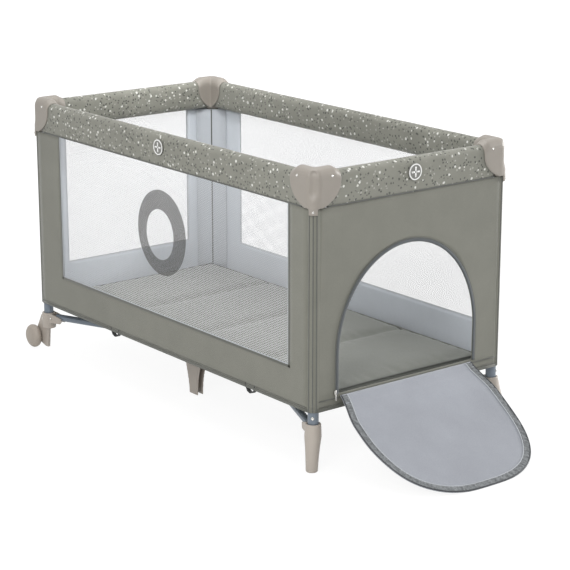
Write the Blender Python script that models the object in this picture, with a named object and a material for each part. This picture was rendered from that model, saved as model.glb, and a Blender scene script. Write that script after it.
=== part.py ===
"""Travel play yard: a folding cot frame with mesh walls, a zipped arched door and a folding mattress.

Units are metres and +Z is up. The yard is modelled round the point on the floor under its middle, with the
door end at +X and the front long side at -Y, and hangs on one empty that then centres the whole part.
"""
import math

import bmesh
import bpy
from mathutils import Matrix, Vector

# Overall sizes of the open yard
LENGTH = 1.300            # outside of the end walls
WIDTH = 0.650             # outside of the long walls
RAIL_TOP = 0.759          # top of the padded rails above the floor
HEM_HEIGHT = 0.150        # lower edge of the walls
COVER_HEIGHT = 0.088      # padded rail cover, top to lower edge
BAND_HEIGHT = 0.106       # solid fabric below a mesh window
STRIP_WHEEL = 0.141       # solid fabric beside a long side's mesh, from its wheel end
STRIP_DOOR = 0.097        # the same from its door end
STRIP_END = 0.105         # the same at both sides of the wheel end's mesh

# Tubes, cloth and clearances
POST_D = 0.028
POST_WALL = 0.0015
RAIL_D = 0.022
BASE_TUBE_D = 0.020
TUBE_WALL = 0.0012
SLEEVE_D = 0.036          # cloth sleeve round a post
WALL_T = 0.0024
MESH_T = 0.0010
CLEAR = 0.0004            # gap between pieces that touch or slide
PIN_D = 0.006
PIN_CLEAR = 0.0003

# Top rails, their caps and the locks in the middle of each side
COVER_T = 0.038           # padded rail cover, outside to inside
COVER_EDGE_T = 0.006      # lower edge of the cover
CAP_WALL = 0.004
CAP_REACH = 0.067         # length of a cap's wing along the rail
CAP_RISE = 0.007          # middle of a cap's arch above the rail axis
CAP_TIP = 0.012           # half width of a cap where its wings run into the tongue
CAP_SHOULDER = 0.026      # depth of the wing's straight end below the rail top
CAP_TONGUE = 0.0165       # tongue of the cap over the sleeve, below the wings
RAIL_PIVOT = 0.045        # rail pivot, from the post axis
LOCK_PIN = 0.020          # lock pivots, either side of the middle of a rail
TUBE_END = 0.012          # tube beyond its pivot
LOCK_HALF = 0.045         # half length of a lock casing
LOCK_W = 0.0294
LOCK_UP = 0.006           # casing above and below the rail axis
LOCK_DOWN = 0.045
LOCK_FLOOR = 0.019        # bottom of the slot that the rails turn in
BUTTON_D = 0.040
BUTTON_T = 0.0015
BUTTON_TRAVEL = 0.003
BUTTON_DROP = 0.017       # button centre below the rail axis
STEM_D = 0.012
STEM_DEPTH = 0.010        # stem end, from the cover's face

# Corner feet, wheels and base
FOOT_TOP = 0.118
SOCKET_FLOOR = 0.075
FOOT_D = 0.041
FOOT_PAD_D = 0.031
FOOT_SPLAY = 0.020        # foot pad outside the post axis, along X and along Y
BASE_AXIS = 0.105         # height of the base tube pivots
BRACKET_REACH = 0.042     # base tube pivot, from the post axis
CHEEK_T = 0.005
CHEEK_DEPTH = 0.034
WHEEL_D = 0.070
WHEEL_W = 0.022
WHEEL_OUT = 0.052         # wheel axle beyond the post axis, along X
WHEEL_SIDE = 0.012        # wheel plate's outer face beyond the post axis, along Y
WHEEL_PLATE_T = 0.010
AXLE_D = 0.008
HUB_X = 0.062             # half sizes of the hub
HUB_Y = 0.068
HUB_BOTTOM = 0.086
LUG_OUT = 0.018           # hub lug beyond the hub's side
ARM_OFFSET = 0.022        # middle arms, from the middle of the hub along X
ARM_PIVOT_OUT = 0.006     # arm pivot beyond the hub's side
ARM_T = 0.010
ARM_H = 0.013
LEG_Y = 0.200             # middle leg, from the middle of the yard
LEG_DEPTH = 0.020
LEG_PLATE_T = 0.003
LEG_FOOT_W = 0.039
LEG_TOP_W = 0.070
LEG_ABOVE_PIN = 0.007

# Door, mattress and base cloth
ARCH_W = 0.460
ARCH_SHIFT = 0.012        # middle of the arch, from the middle of the end towards the front
SILL_HEIGHT = 0.187
ARCH_SPRING = 0.285       # height where the arch starts to curve
ARCH_TOP = 0.543
FLAP_T = 0.0024
FLAP_LAP = 0.024          # flap overlap round the arch
FLAP_SAG = 0.012
FLAP_TIP = 0.003          # height of the flap's tip over the floor
SLIDER_TRAVEL = 0.125
BASE_CLOTH_T = 0.0025
BASE_CLOTH_UP = 0.0095    # base cloth above the hem of the walls
MATTRESS_T = 0.022
MATTRESS_GAP = 0.007      # mattress to the post sleeves
MATTRESS_CHANNEL = 0.005
MATTRESS_PANELS = 4

# Facets
POST_SIDES = 20
TUBE_SIDES = 12
PIN_SIDES = 10
WHEEL_SIDES = 28

# Places worked out from the sizes above
POST_X = LENGTH / 2 - SLEEVE_D / 2
POST_Y = WIDTH / 2 - SLEEVE_D / 2
RAIL_AXIS = RAIL_TOP - COVER_T / 2
COVER_BOTTOM = RAIL_TOP - COVER_HEIGHT
WALL_TOP = COVER_BOTTOM - CLEAR
CAP_BOTTOM = COVER_BOTTOM + CLEAR
COVER_START = COVER_T / 2 + CAP_WALL + 5 * CLEAR
BAND_TOP = HEM_HEIGHT + BAND_HEIGHT
POST_TOP = RAIL_AXIS - CAP_WALL
BASE_CLOTH_Z = HEM_HEIGHT + BASE_CLOTH_UP
HUB_TOP = BASE_CLOTH_Z - CLEAR
MATTRESS_Z = BASE_CLOTH_Z + BASE_CLOTH_T + CLEAR
RAIL_FOLD = RAIL_PIVOT + LOCK_PIN
SPREAD = Vector((POST_X - RAIL_FOLD, POST_Y - RAIL_FOLD, 0))
OUTWARD = SPREAD.normalized()
BRACKET_PIVOT = Vector((POST_X, POST_Y, BASE_AXIS)) - OUTWARD * BRACKET_REACH
HUB_PIVOT = BRACKET_PIVOT - SPREAD
ARM_PIVOT_Y = HUB_Y + ARM_PIVOT_OUT
HINGE_X = LENGTH / 2 + FLAP_T / 2 + CLEAR
HINGE_Z = SILL_HEIGHT - FLAP_LAP / 4

CORNERS = {"wheel_front": (-1, -1), "door_front": (1, -1), "door_back": (1, 1), "wheel_back": (-1, 1)}

UP = Vector((0, 0, 1))
ORIGIN = Vector((0, 0, 0))


# Finishes

def finish(name, colour, roughness, metallic=0.0):
    """A plain material with the piece's colour, roughness and metallic value."""
    material = bpy.data.materials.new(name)
    material.use_nodes = True
    shader = material.node_tree.nodes["Principled BSDF"]
    shader.inputs["Base Color"].default_value = (*colour, 1.0)
    shader.inputs["Roughness"].default_value = roughness
    shader.inputs["Metallic"].default_value = metallic
    material.diffuse_color = (*colour, 1.0)
    return material


# Shapes

def tube_radius(radius, sides):
    """Corner radius of a round hole whose flats clear a pin of this radius."""
    return radius / math.cos(math.pi / sides)


def along(direction, start):
    """Matrix that lays a shape made along Z on the line from start in a direction."""
    turn = Vector(direction).to_track_quat("Z", "Y").to_matrix().to_4x4()
    return Matrix.Translation(start) @ turn


def face_out(bm):
    """Turn every face of a closed body outwards."""
    bmesh.ops.recalc_face_normals(bm, faces=bm.faces)
    if bm.calc_volume(signed=True) < 0:
        bmesh.ops.reverse_faces(bm, faces=bm.faces)


def revolve(profile, sides, matrix):
    """Turn a profile of (radius, height) points about Z into one closed body."""
    bm = bmesh.new()
    verts = [bm.verts.new((radius, 0, height)) for radius, height in profile]
    edges = [bm.edges.new(pair) for pair in zip(verts, verts[1:])]
    if min(radius for radius, height in profile) > 0:
        edges.append(bm.edges.new((verts[-1], verts[0])))
    bmesh.ops.spin(bm, geom=verts + edges, cent=ORIGIN, axis=UP, angle=2 * math.pi, steps=sides,
                   use_merge=True)
    bmesh.ops.remove_doubles(bm, verts=bm.verts, dist=1e-6)
    bmesh.ops.dissolve_degenerate(bm, edges=bm.edges, dist=1e-7)
    bm.transform(matrix)
    face_out(bm)
    return bm


def rod(start, direction, length, radius, sides):
    """Solid round rod."""
    bm = bmesh.new()
    place = along(direction, start) @ Matrix.Translation((0, 0, length / 2))
    bmesh.ops.create_cone(bm, cap_ends=True, segments=sides, radius1=radius, radius2=radius, depth=length,
                          matrix=place)
    face_out(bm)
    return bm


def pipe(start, end, outer_d, wall, sides):
    """Round tube with open ends."""
    line = Vector(end) - Vector(start)
    outer = outer_d / 2
    profile = [(outer - wall, 0), (outer, 0), (outer, line.length), (outer - wall, line.length)]
    return revolve(profile, sides, along(line, start))


def prism(outline, depth, matrix=Matrix()):
    """Flat outline in XY, extruded along Z by depth."""
    bm = bmesh.new()
    face = bm.faces.new([bm.verts.new((x, y, 0)) for x, y in outline])
    grown = bmesh.ops.extrude_face_region(bm, geom=[face])
    moved = [item for item in grown["geom"] if isinstance(item, bmesh.types.BMVert)]
    bmesh.ops.translate(bm, verts=moved, vec=(0, 0, depth))
    bm.transform(matrix)
    face_out(bm)
    return bm


def block(low, high):
    """Box between two corners."""
    (x0, y0, z0), (x1, y1, z1) = low, high
    outline = [(x0, y0), (x1, y0), (x1, y1), (x0, y1)]
    return prism(outline, z1 - z0, Matrix.Translation((0, 0, z0)))


def arc(centre, radius_x, radius_y, start, end, steps):
    """Points along an elliptical arc, angles in degrees."""
    angles = [math.radians(start + (end - start) * step / steps) for step in range(steps + 1)]
    return [(centre[0] + radius_x * math.cos(a), centre[1] + radius_y * math.sin(a)) for a in angles]


def combine(body, tool, operation):
    """Boolean of two closed shapes; both are used up."""
    objects = []
    for bm in (body, tool):
        mesh = bpy.data.meshes.new("shape")
        bm.to_mesh(mesh)
        bm.free()
        helper = bpy.data.objects.new("shape", mesh)
        bpy.context.scene.collection.objects.link(helper)
        objects.append(helper)
    cut = objects[0].modifiers.new("cut", "BOOLEAN")
    cut.operation = operation
    cut.solver = "EXACT"
    cut.object = objects[1]
    graph = bpy.context.evaluated_depsgraph_get()
    mesh = bpy.data.meshes.new_from_object(objects[0].evaluated_get(graph))
    result = bmesh.new()
    result.from_mesh(mesh)
    for helper in objects:
        bpy.data.objects.remove(helper)
    return result


def join(body, *tools):
    for tool in tools:
        body = combine(body, tool, "UNION")
    return body


def cut(body, *tools):
    for tool in tools:
        body = combine(body, tool, "DIFFERENCE")
    return body


def soften_edges(bm, edges, width, segments):
    bmesh.ops.bevel(bm, geom=edges, offset=width, segments=segments, profile=0.5, affect="EDGES",
                    material=-1)


def level_edges(bm, height):
    """Edges that lie at one height."""
    return [e for e in bm.edges if all(abs(v.co.z - height) < 1e-5 for v in e.verts)]


# Placing

def corner_matrix(sx, sy):
    return Matrix.Diagonal((sx, sy, 1, 1))


def side_matrix(quarter):
    """Side frame: u along the side from the post that carries it, v into the yard, w up."""
    start = {0: (-POST_X, -POST_Y), 1: (POST_X, -POST_Y), 2: (POST_X, POST_Y), 3: (-POST_X, POST_Y)}[quarter]
    return Matrix.Translation((*start, 0)) @ Matrix.Rotation(quarter * math.pi / 2, 4, "Z")


def rail_matrix(long_side, out, end):
    """Rail frame: u from the middle of a side towards one corner, v out of the yard, w up."""
    if long_side:
        axes = Matrix(((end, 0, 0), (0, out, 0), (0, 0, 1))).to_4x4()
        return Matrix.Translation((0, out * POST_Y, RAIL_AXIS)) @ axes
    axes = Matrix(((0, out, 0), (end, 0, 0), (0, 0, 1))).to_4x4()
    return Matrix.Translation((out * POST_X, 0, RAIL_AXIS)) @ axes


class Yard:
    """The empty that carries every piece."""

    def __init__(self):
        self.empty = bpy.data.objects.new("yard", None)
        bpy.context.scene.collection.objects.link(self.empty)
        self.pieces = []

    def add(self, name, bm, material, matrix=Matrix(), origin=ORIGIN):
        """Make a named piece from a shape, with its own origin in the yard's frame."""
        bm.transform(matrix)
        if matrix.determinant() < 0:
            bmesh.ops.reverse_faces(bm, faces=bm.faces)
        bmesh.ops.translate(bm, verts=bm.verts, vec=-Vector(origin))
        mesh = bpy.data.meshes.new(name)
        bm.to_mesh(mesh)
        bm.free()
        mesh.shade_smooth()
        mesh.set_sharp_from_angle(angle=math.radians(35))
        mesh.materials.append(material)
        piece = bpy.data.objects.new(name, mesh)
        bpy.context.scene.collection.objects.link(piece)
        piece.parent = self.empty
        piece.location = origin
        self.pieces.append(piece)
        return piece

    def centre(self):
        """Move the yard so that the whole part stands centred on the frame's origin."""
        bpy.context.view_layer.update()
        corners = [p.matrix_world @ Vector(c) for p in self.pieces for c in p.bound_box]
        for axis in (0, 1):
            values = [corner[axis] for corner in corners]
            self.empty.location[axis] = -(min(values) + max(values)) / 2


# Corner posts, caps, feet and wheels, all made for the corner at +X +Y

def make_post():
    foot = (POST_X, POST_Y, SOCKET_FLOOR + CLEAR)
    return pipe(foot, (POST_X, POST_Y, POST_TOP), POST_D, POST_WALL, POST_SIDES)


def cap_arm(stand_off):
    """Wing of a cap: an arched channel over the rail, cut to a rounded outline, along +X from the post.

    The stand off makes one wing of a cap a shade larger than the other, so that no faces of the two coincide.
    """
    inner = COVER_T / 2 + CLEAR + stand_off
    outer = inner + CAP_WALL
    low = CAP_BOTTOM - RAIL_AXIS
    spring = CAP_RISE - stand_off
    profile = [(-outer, low)] + arc((0, spring), outer, outer, 180, 0, 10) + [(outer, low), (inner, low)]
    profile += arc((0, spring), inner, inner, 0, 180, 10) + [(-inner, low)]
    start = CAP_WALL / 2 + stand_off
    upright = Matrix(((0, 0, 1), (1, 0, 0), (0, 1, 0))).to_4x4()
    channel = prism(profile, CAP_REACH, Matrix.Translation((start, 0, 0)) @ upright)
    shoulder = RAIL_TOP - CAP_SHOULDER - RAIL_AXIS - stand_off
    sweep = 60
    wide = (CAP_REACH - CAP_TIP) / (1 - math.cos(math.radians(sweep)))
    deep = (shoulder - low) / math.sin(math.radians(sweep))
    round_end = arc((CAP_REACH - wide, shoulder), wide, deep, 0, -sweep, 7)
    outline = [(0, 2 * outer), (0, low)] + round_end[::-1] + [(CAP_REACH, 2 * outer)]
    across = Matrix(((1, 0, 0), (0, 0, 1), (0, 1, 0))).to_4x4()
    gauge = prism(outline, 4 * outer, Matrix.Translation((0, -2 * outer, 0)) @ across)
    wing = combine(channel, gauge, "INTERSECT")
    pin_start = (RAIL_PIVOT, -inner - CAP_WALL / 2, 0)
    pin = rod(pin_start, (0, 1, 0), 2 * inner + CAP_WALL, PIN_D / 2, PIN_SIDES)
    return join(wing, pin)


def make_cap():
    outer = COVER_T / 2 + CLEAR + CAP_WALL
    low = CAP_BOTTOM - RAIL_AXIS
    waist = outer - CLEAR
    dome = arc((0, CAP_RISE), waist, waist, 90, 0, 5)
    dome[0] = (0, CAP_RISE + waist)
    core = revolve(dome + [(waist, low), (0, low)], POST_SIDES, Matrix())
    long_wing = cap_arm(0)
    long_wing.transform(Matrix.Rotation(math.pi, 4, "Z"))
    short_wing = cap_arm(CLEAR)
    short_wing.transform(Matrix.Rotation(-math.pi / 2, 4, "Z"))
    tongue_inner = SLEEVE_D / 2 + CLEAR
    tongue = bmesh.new()
    ring = [(tongue_inner, low - CAP_TONGUE), (outer, low - CAP_TONGUE), (outer, low + CAP_WALL),
            (tongue_inner, low + CAP_WALL)]
    section = tongue.faces.new([tongue.verts.new((r, 0, z)) for r, z in ring])
    bmesh.ops.spin(tongue, geom=[section], cent=ORIGIN, axis=UP, angle=math.radians(64), steps=4)
    face_out(tongue)
    tongue.transform(Matrix.Rotation(math.radians(45 - 32), 4, "Z"))
    cap = join(core, long_wing, short_wing, tongue)
    socket = tube_radius(POST_D / 2 + CLEAR, POST_SIDES)
    bore = rod((0, 0, low - CAP_WALL), UP, POST_TOP + CLEAR - RAIL_AXIS - low + CAP_WALL, socket, POST_SIDES)
    cap = cut(cap, bore)
    cap.transform(Matrix.Translation((POST_X, POST_Y, RAIL_AXIS)))
    return cap


def bracket_clevis(body):
    """Add the two cheeks and the pin for the base tube, and the post's socket, to a corner bracket."""
    gap = BASE_TUBE_D / 2 + CLEAR
    post = Vector((POST_X, POST_Y, 0))
    inward = -OUTWARD
    frame = Matrix.Translation(post) @ Matrix.Rotation(math.atan2(inward.y, inward.x), 4, "Z")
    reach = BRACKET_REACH + TUBE_END
    low = BASE_AXIS - CHEEK_DEPTH / 2
    high = FOOT_TOP - CHEEK_T / 2
    outline = [(0, low), (reach - CHEEK_T, low), (reach, low + CHEEK_T), (reach, BASE_AXIS)]
    outline += [(FOOT_D / 2, high), (0, high)]
    upright = Matrix(((1, 0, 0), (0, 0, 1), (0, 1, 0))).to_4x4()
    for side in (-1, 1):
        offset = gap if side > 0 else -gap - CHEEK_T
        cheek = prism(outline[::-1], CHEEK_T, frame @ Matrix.Translation((0, offset, 0)) @ upright)
        body = join(body, cheek)
    turn_room = math.hypot(TUBE_END, BASE_TUBE_D / 2) + CLEAR
    mouth = block((BRACKET_REACH - turn_room, -gap, low - CHEEK_T), (reach + CHEEK_T, gap, high + CHEEK_T))
    mouth.transform(frame)
    body = cut(body, mouth)
    across = frame.to_3x3() @ Vector((0, 1, 0))
    pin_start = BRACKET_PIVOT - across * (gap + CHEEK_T / 2)
    pin = rod(pin_start, across, 2 * gap + CHEEK_T, PIN_D / 2, PIN_SIDES)
    body = join(body, pin)
    socket = tube_radius(POST_D / 2 + CLEAR, POST_SIDES)
    bore = rod((POST_X, POST_Y, SOCKET_FLOOR), UP, FOOT_TOP, socket, POST_SIDES)
    return cut(body, bore)


def stacked(rings, sides):
    """Closed body through round sections given as (x, y, z, radius), from the bottom up."""
    bm = bmesh.new()
    loop = None
    for x, y, z, radius in rings:
        place = Matrix.Translation((x, y, z))
        made = bmesh.ops.create_circle(bm, segments=sides, radius=radius, matrix=place)
        edges = list({e for v in made["verts"] for e in v.link_edges})
        if loop is None:
            bmesh.ops.contextual_create(bm, geom=edges)
        else:
            bmesh.ops.bridge_loops(bm, edges=loop + edges)
        loop = edges
    bmesh.ops.contextual_create(bm, geom=loop)
    face_out(bm)
    return bm


def make_foot():
    """Splayed moulded foot: a collar for the post that bends out to a round pad."""
    steps = [(0.0, 1.0, -0.0015), (0.0025, 1.0, 0.0), (0.25, 0.86, 0.0), (0.5, 0.52, 0.001)]
    steps.append((0.72, 0.16, 0.003))
    rings = []
    for share, splay, swell in steps:
        z = share * FOOT_TOP
        blend = FOOT_PAD_D / 2 + (FOOT_D - FOOT_PAD_D) / 2 * share
        rings.append((POST_X + FOOT_SPLAY * splay, POST_Y + FOOT_SPLAY * splay, z, blend + swell))
    rings.append((POST_X, POST_Y, FOOT_TOP - CHEEK_T, FOOT_D / 2))
    rings.append((POST_X, POST_Y, FOOT_TOP, FOOT_D / 2 - CLEAR))
    return bracket_clevis(stacked(rings, POST_SIDES))


def make_wheel_bracket():
    """Moulded bracket: a collar for the post and a plate that carries the wheel's axle outside it."""
    collar_low = SOCKET_FLOOR - CHEEK_T
    collar = rod((POST_X, POST_Y, collar_low), UP, FOOT_TOP - collar_low, FOOT_D / 2, POST_SIDES)
    axle_z = WHEEL_D / 2
    boss = AXLE_D * 1.75
    ground = axle_z - AXLE_D * 3
    outline = [(POST_X - boss, SOCKET_FLOOR), (POST_X - boss / 2, ground), (POST_X + boss / 2, ground)]
    outline += arc((POST_X + WHEEL_OUT, axle_z), boss, boss, -110, 50, 8)
    outline += [(POST_X + FOOT_D / 2 + CHEEK_T, FOOT_TOP - CHEEK_DEPTH / 3), (POST_X, FOOT_TOP - CHEEK_T)]
    upright = Matrix(((1, 0, 0), (0, 0, 1), (0, 1, 0))).to_4x4()
    back = Matrix.Translation((0, POST_Y + WHEEL_SIDE - WHEEL_PLATE_T, 0))
    plate = prism(outline[::-1], WHEEL_PLATE_T, back @ upright)
    behind = (POST_X + WHEEL_OUT, POST_Y + WHEEL_SIDE - 2 * WHEEL_PLATE_T, axle_z)
    hole = rod(behind, (0, 1, 0), 3 * WHEEL_PLATE_T, tube_radius(AXLE_D / 2 + PIN_CLEAR, PIN_SIDES), PIN_SIDES)
    return cut(bracket_clevis(join(collar, plate)), hole)


def make_axle():
    """Stub axle with a flat head behind the plate and a hub cap outside the wheel."""
    inside = -WHEEL_PLATE_T - CLEAR
    outside = CLEAR + WHEEL_W + CLEAR
    head = AXLE_D / 4
    radius = AXLE_D / 2
    profile = [(0, inside - head), (AXLE_D, inside - head), (AXLE_D, inside), (radius, inside)]
    profile += [(radius, outside), (AXLE_D, outside), (AXLE_D * 0.8, outside + head), (0, outside + head)]
    face = (POST_X + WHEEL_OUT, POST_Y + WHEEL_SIDE, WHEEL_D / 2)
    return revolve(profile, PIN_SIDES, along((0, 1, 0), face))


def make_wheel():
    """Disc wheel: round tread, dished faces and a hub."""
    bore = tube_radius(AXLE_D / 2 + PIN_CLEAR, PIN_SIDES)
    rim = WHEEL_D / 2
    half = WHEEL_W / 2
    tread = arc((rim - half * 0.6, 0), half * 0.6, half, 90, -90, 6)
    tread = [(r, half + z) for r, z in tread]
    dish = [(rim * 0.72, half * 0.3), (rim * 0.34, half * 0.3), (rim * 0.30, 0)]
    back = [(rim * 0.30, WHEEL_W), (rim * 0.34, WHEEL_W - half * 0.3), (rim * 0.72, WHEEL_W - half * 0.3)]
    profile = [(bore, WHEEL_W)] + back + tread + dish + [(bore, 0)]
    face = (POST_X + WHEEL_OUT, POST_Y + WHEEL_SIDE + CLEAR, WHEEL_D / 2)
    return revolve(profile, WHEEL_SIDES, along((0, 1, 0), face))


# Base: hub, base tubes, middle arms and legs

def hole_through(point, axis, length):
    """Cutter for a pin hole through a tube."""
    start = Vector(point) - Vector(axis) * length / 2
    return rod(start, axis, length, tube_radius(PIN_D / 2 + PIN_CLEAR, PIN_SIDES), PIN_SIDES)


def pivot_tube(first, second, outer_d):
    """Tube between two pivots, with a cross hole at each."""
    first = Vector(first)
    second = Vector(second)
    line = (second - first).normalized()
    tube = pipe(first - line * TUBE_END, second + line * TUBE_END, outer_d, TUBE_WALL, TUBE_SIDES)
    across = UP.cross(line)
    return cut(tube, hole_through(first, across, 2 * outer_d), hole_through(second, across, 2 * outer_d))


def make_hub():
    """Moulded hub: a rounded block with four slots under it for the base tubes and two lugs for the arms."""
    hub = block((-HUB_X, -HUB_Y, HUB_BOTTOM), (HUB_X, HUB_Y, HUB_TOP))
    uprights = [e for e in hub.edges if abs(e.verts[0].co.z - e.verts[1].co.z) > CLEAR]
    soften_edges(hub, uprights, HUB_X / 3, 4)
    soften_edges(hub, level_edges(hub, HUB_TOP), CHEEK_T, 2)
    slot = BASE_TUBE_D / 2 + CLEAR
    room = math.hypot(TUBE_END, BASE_TUBE_D / 2) + CLEAR
    lug_half = ARM_T / 2 + CLEAR + CHEEK_T
    for side in (-1, 1):
        x = side * ARM_OFFSET
        y = side * HUB_Y
        lug = block((x - lug_half, min(y - side * CHEEK_T, y + side * LUG_OUT), HUB_BOTTOM),
                    (x + lug_half, max(y - side * CHEEK_T, y + side * LUG_OUT), BASE_AXIS + ARM_H))
        hub = join(hub, lug)
    for sx, sy in CORNERS.values():
        pivot = Vector((sx * HUB_PIVOT.x, sy * HUB_PIVOT.y, 0))
        outward = Vector((sx * OUTWARD.x, sy * OUTWARD.y, 0))
        frame = Matrix.Translation(pivot) @ Matrix.Rotation(math.atan2(outward.y, outward.x), 4, "Z")
        mouth = block((-room, -slot, HUB_BOTTOM - CHEEK_T), (2 * HUB_X, slot, BASE_AXIS + room))
        mouth.transform(frame)
        hub = cut(hub, mouth)
        across = UP.cross(outward)
        pin_start = pivot + UP * BASE_AXIS - across * (slot + CHEEK_T / 2)
        pin = rod(pin_start, across, 2 * slot + CHEEK_T, PIN_D / 2, PIN_SIDES)
        hub = join(hub, pin)
    for side in (-1, 1):
        x = side * ARM_OFFSET
        pivot_y = side * ARM_PIVOT_Y
        far = pivot_y + side * LUG_OUT * 2
        near = pivot_y - side * (ARM_H / 2 + 2 * CLEAR)
        mouth = block((x - ARM_T / 2 - CLEAR, min(near, far), HUB_BOTTOM - CHEEK_T),
                      (x + ARM_T / 2 + CLEAR, max(near, far), BASE_AXIS + 2 * ARM_H))
        hub = cut(hub, mouth)
        pin_start = (x - lug_half + CHEEK_T / 2, pivot_y, BASE_AXIS)
        pin = rod(pin_start, (1, 0, 0), 2 * lug_half - CHEEK_T, PIN_D / 2, PIN_SIDES)
        hub = join(hub, pin)
    return hub


def make_base_tube():
    return pivot_tube(HUB_PIVOT, BRACKET_PIVOT, BASE_TUBE_D)


def make_middle_arm():
    """Flat arm from the hub out to the back middle leg, with a pin hole at each end."""
    radius = ARM_H / 2
    outline = arc((LEG_Y, BASE_AXIS), radius, radius, -90, 90, 6)
    outline += arc((ARM_PIVOT_Y, BASE_AXIS), radius, radius, 90, 270, 6)
    upright = Matrix(((0, 0, 1), (1, 0, 0), (0, 1, 0))).to_4x4()
    arm = prism(outline, ARM_T, Matrix.Translation((ARM_OFFSET - ARM_T / 2, 0, 0)) @ upright)
    holes = [hole_through((ARM_OFFSET, y, BASE_AXIS), (1, 0, 0), 3 * ARM_T) for y in (ARM_PIVOT_Y, LEG_Y)]
    return cut(arm, *holes)


def make_middle_leg():
    """Moulded leg of I section: two tapered plates, a web between them and a fork for the arm."""
    top = BASE_AXIS + LEG_ABOVE_PIN
    steps = 6
    flare = [(step / steps) for step in range(steps + 1)]
    half = [(LEG_FOOT_W + (LEG_TOP_W - LEG_FOOT_W) * share ** 1.6) / 2 for share in flare]
    right = [(ARM_OFFSET + w, share * top) for w, share in zip(half, flare)]
    left = [(ARM_OFFSET - w, share * top) for w, share in zip(half, flare)]
    outline = right + left[::-1]
    upright = Matrix(((1, 0, 0), (0, 0, 1), (0, 1, 0))).to_4x4()
    plates = []
    for y in (LEG_Y - LEG_DEPTH / 2, LEG_Y + LEG_DEPTH / 2 - LEG_PLATE_T):
        plate = prism(outline[::-1], LEG_PLATE_T, Matrix.Translation((0, y, 0)) @ upright)
        plates.append(plate)
    sink = LEG_PLATE_T / 2
    fork_half = ARM_T / 2 + CLEAR + CHEEK_T
    fork_low = BASE_AXIS - ARM_H
    inner = (LEG_Y - LEG_DEPTH / 2 + sink, LEG_Y + LEG_DEPTH / 2 - sink)
    web = block((ARM_OFFSET - sink, inner[0], ARM_H), (ARM_OFFSET + sink, inner[1], fork_low + CHEEK_T))
    fork_low_corner = (ARM_OFFSET - fork_half, inner[0], fork_low)
    fork = block(fork_low_corner, (ARM_OFFSET + fork_half, inner[1], top - sink))
    leg = join(plates[0], web, plates[1], fork)
    slot = ARM_T / 2 + CLEAR
    mouth = block((ARM_OFFSET - slot, LEG_Y - LEG_DEPTH, BASE_AXIS - ARM_H / 2 - CLEAR),
                  (ARM_OFFSET + slot, LEG_Y + ARM_H / 2 + CLEAR, top + ARM_H))
    leg = cut(leg, mouth)
    pin = rod((ARM_OFFSET - fork_half + CHEEK_T / 2, LEG_Y, BASE_AXIS), (1, 0, 0), 2 * fork_half - CHEEK_T,
              PIN_D / 2, PIN_SIDES)
    return join(leg, pin)


# Top rails in the rail frame: u towards the corner, v out of the yard, w up from the rail's axis

def make_half_rail(span):
    return pivot_tube((LOCK_PIN, 0, 0), (span - RAIL_PIVOT, 0, 0), RAIL_D)


def cover_section():
    """Outline of a padded rail cover: round top, straight outside, drawn in to its edge sewn over the wall."""
    half = COVER_T / 2
    low = COVER_BOTTOM - RAIL_AXIS
    belly = -LOCK_DOWN - CAP_WALL
    edge = half - COVER_EDGE_T
    outside = arc((0, 0), half, half, 90, 0, 5) + [(half, belly), (half - CLEAR, low)]
    inside = arc((edge, belly), half + edge, belly - low, 270, 180, 4) + arc((0, 0), half, half, 180, 90, 5)
    return outside + inside[:-1]


def make_cover(span):
    """Half of a padded rail cover, bored for the rail and hollowed for the lock at the middle of a side."""
    along_rail = Matrix(((0, 0, 1), (1, 0, 0), (0, 1, 0))).to_4x4()
    length = span - COVER_START - CLEAR
    cover = prism(cover_section(), length, Matrix.Translation((CLEAR, 0, 0)) @ along_rail)
    bore_radius = tube_radius(RAIL_D / 2 + CLEAR, TUBE_SIDES)
    bore = rod((-CAP_WALL, 0, 0), (1, 0, 0), span, bore_radius, TUBE_SIDES)
    pocket_half = LOCK_W / 2 + CLEAR
    pocket_low = (-CAP_WALL, -pocket_half, -LOCK_DOWN - CLEAR)
    pocket = block(pocket_low, (LOCK_HALF + CLEAR, pocket_half, LOCK_UP + CLEAR))
    stem_radius = tube_radius(STEM_D / 2 + CLEAR, PIN_SIDES)
    stem_hole = rod((0, 0, -BUTTON_DROP), (0, 1, 0), COVER_T, stem_radius, PIN_SIDES)
    pin_hole = hole_through((span - RAIL_PIVOT, 0, 0), (0, 1, 0), 2 * COVER_T)
    return cut(cover, bore, pocket, stem_hole, pin_hole)


def make_lock():
    """Lock casing: a trough open at the top that both half rails turn in, over a housing for the button."""
    casing = block((-LOCK_HALF, -LOCK_W / 2, -LOCK_DOWN), (LOCK_HALF, LOCK_W / 2, LOCK_UP))
    soften_edges(casing, level_edges(casing, -LOCK_DOWN), CAP_WALL, 2)
    slot = RAIL_D / 2 + CLEAR
    trough = block((-2 * LOCK_HALF, -slot, -LOCK_FLOOR), (2 * LOCK_HALF, slot, LOCK_DOWN))
    guide = rod((0, COVER_T / 2 - STEM_DEPTH - BUTTON_TRAVEL - CLEAR, -BUTTON_DROP), (0, 1, 0), COVER_T,
                tube_radius(STEM_D / 2 + PIN_CLEAR, PIN_SIDES), PIN_SIDES)
    casing = cut(casing, trough, guide)
    pins = [rod((u, -LOCK_W / 2 + CLEAR, 0), (0, 1, 0), LOCK_W - 2 * CLEAR, PIN_D / 2, PIN_SIDES)
            for u in (-LOCK_PIN, LOCK_PIN)]
    return join(casing, *pins)


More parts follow.
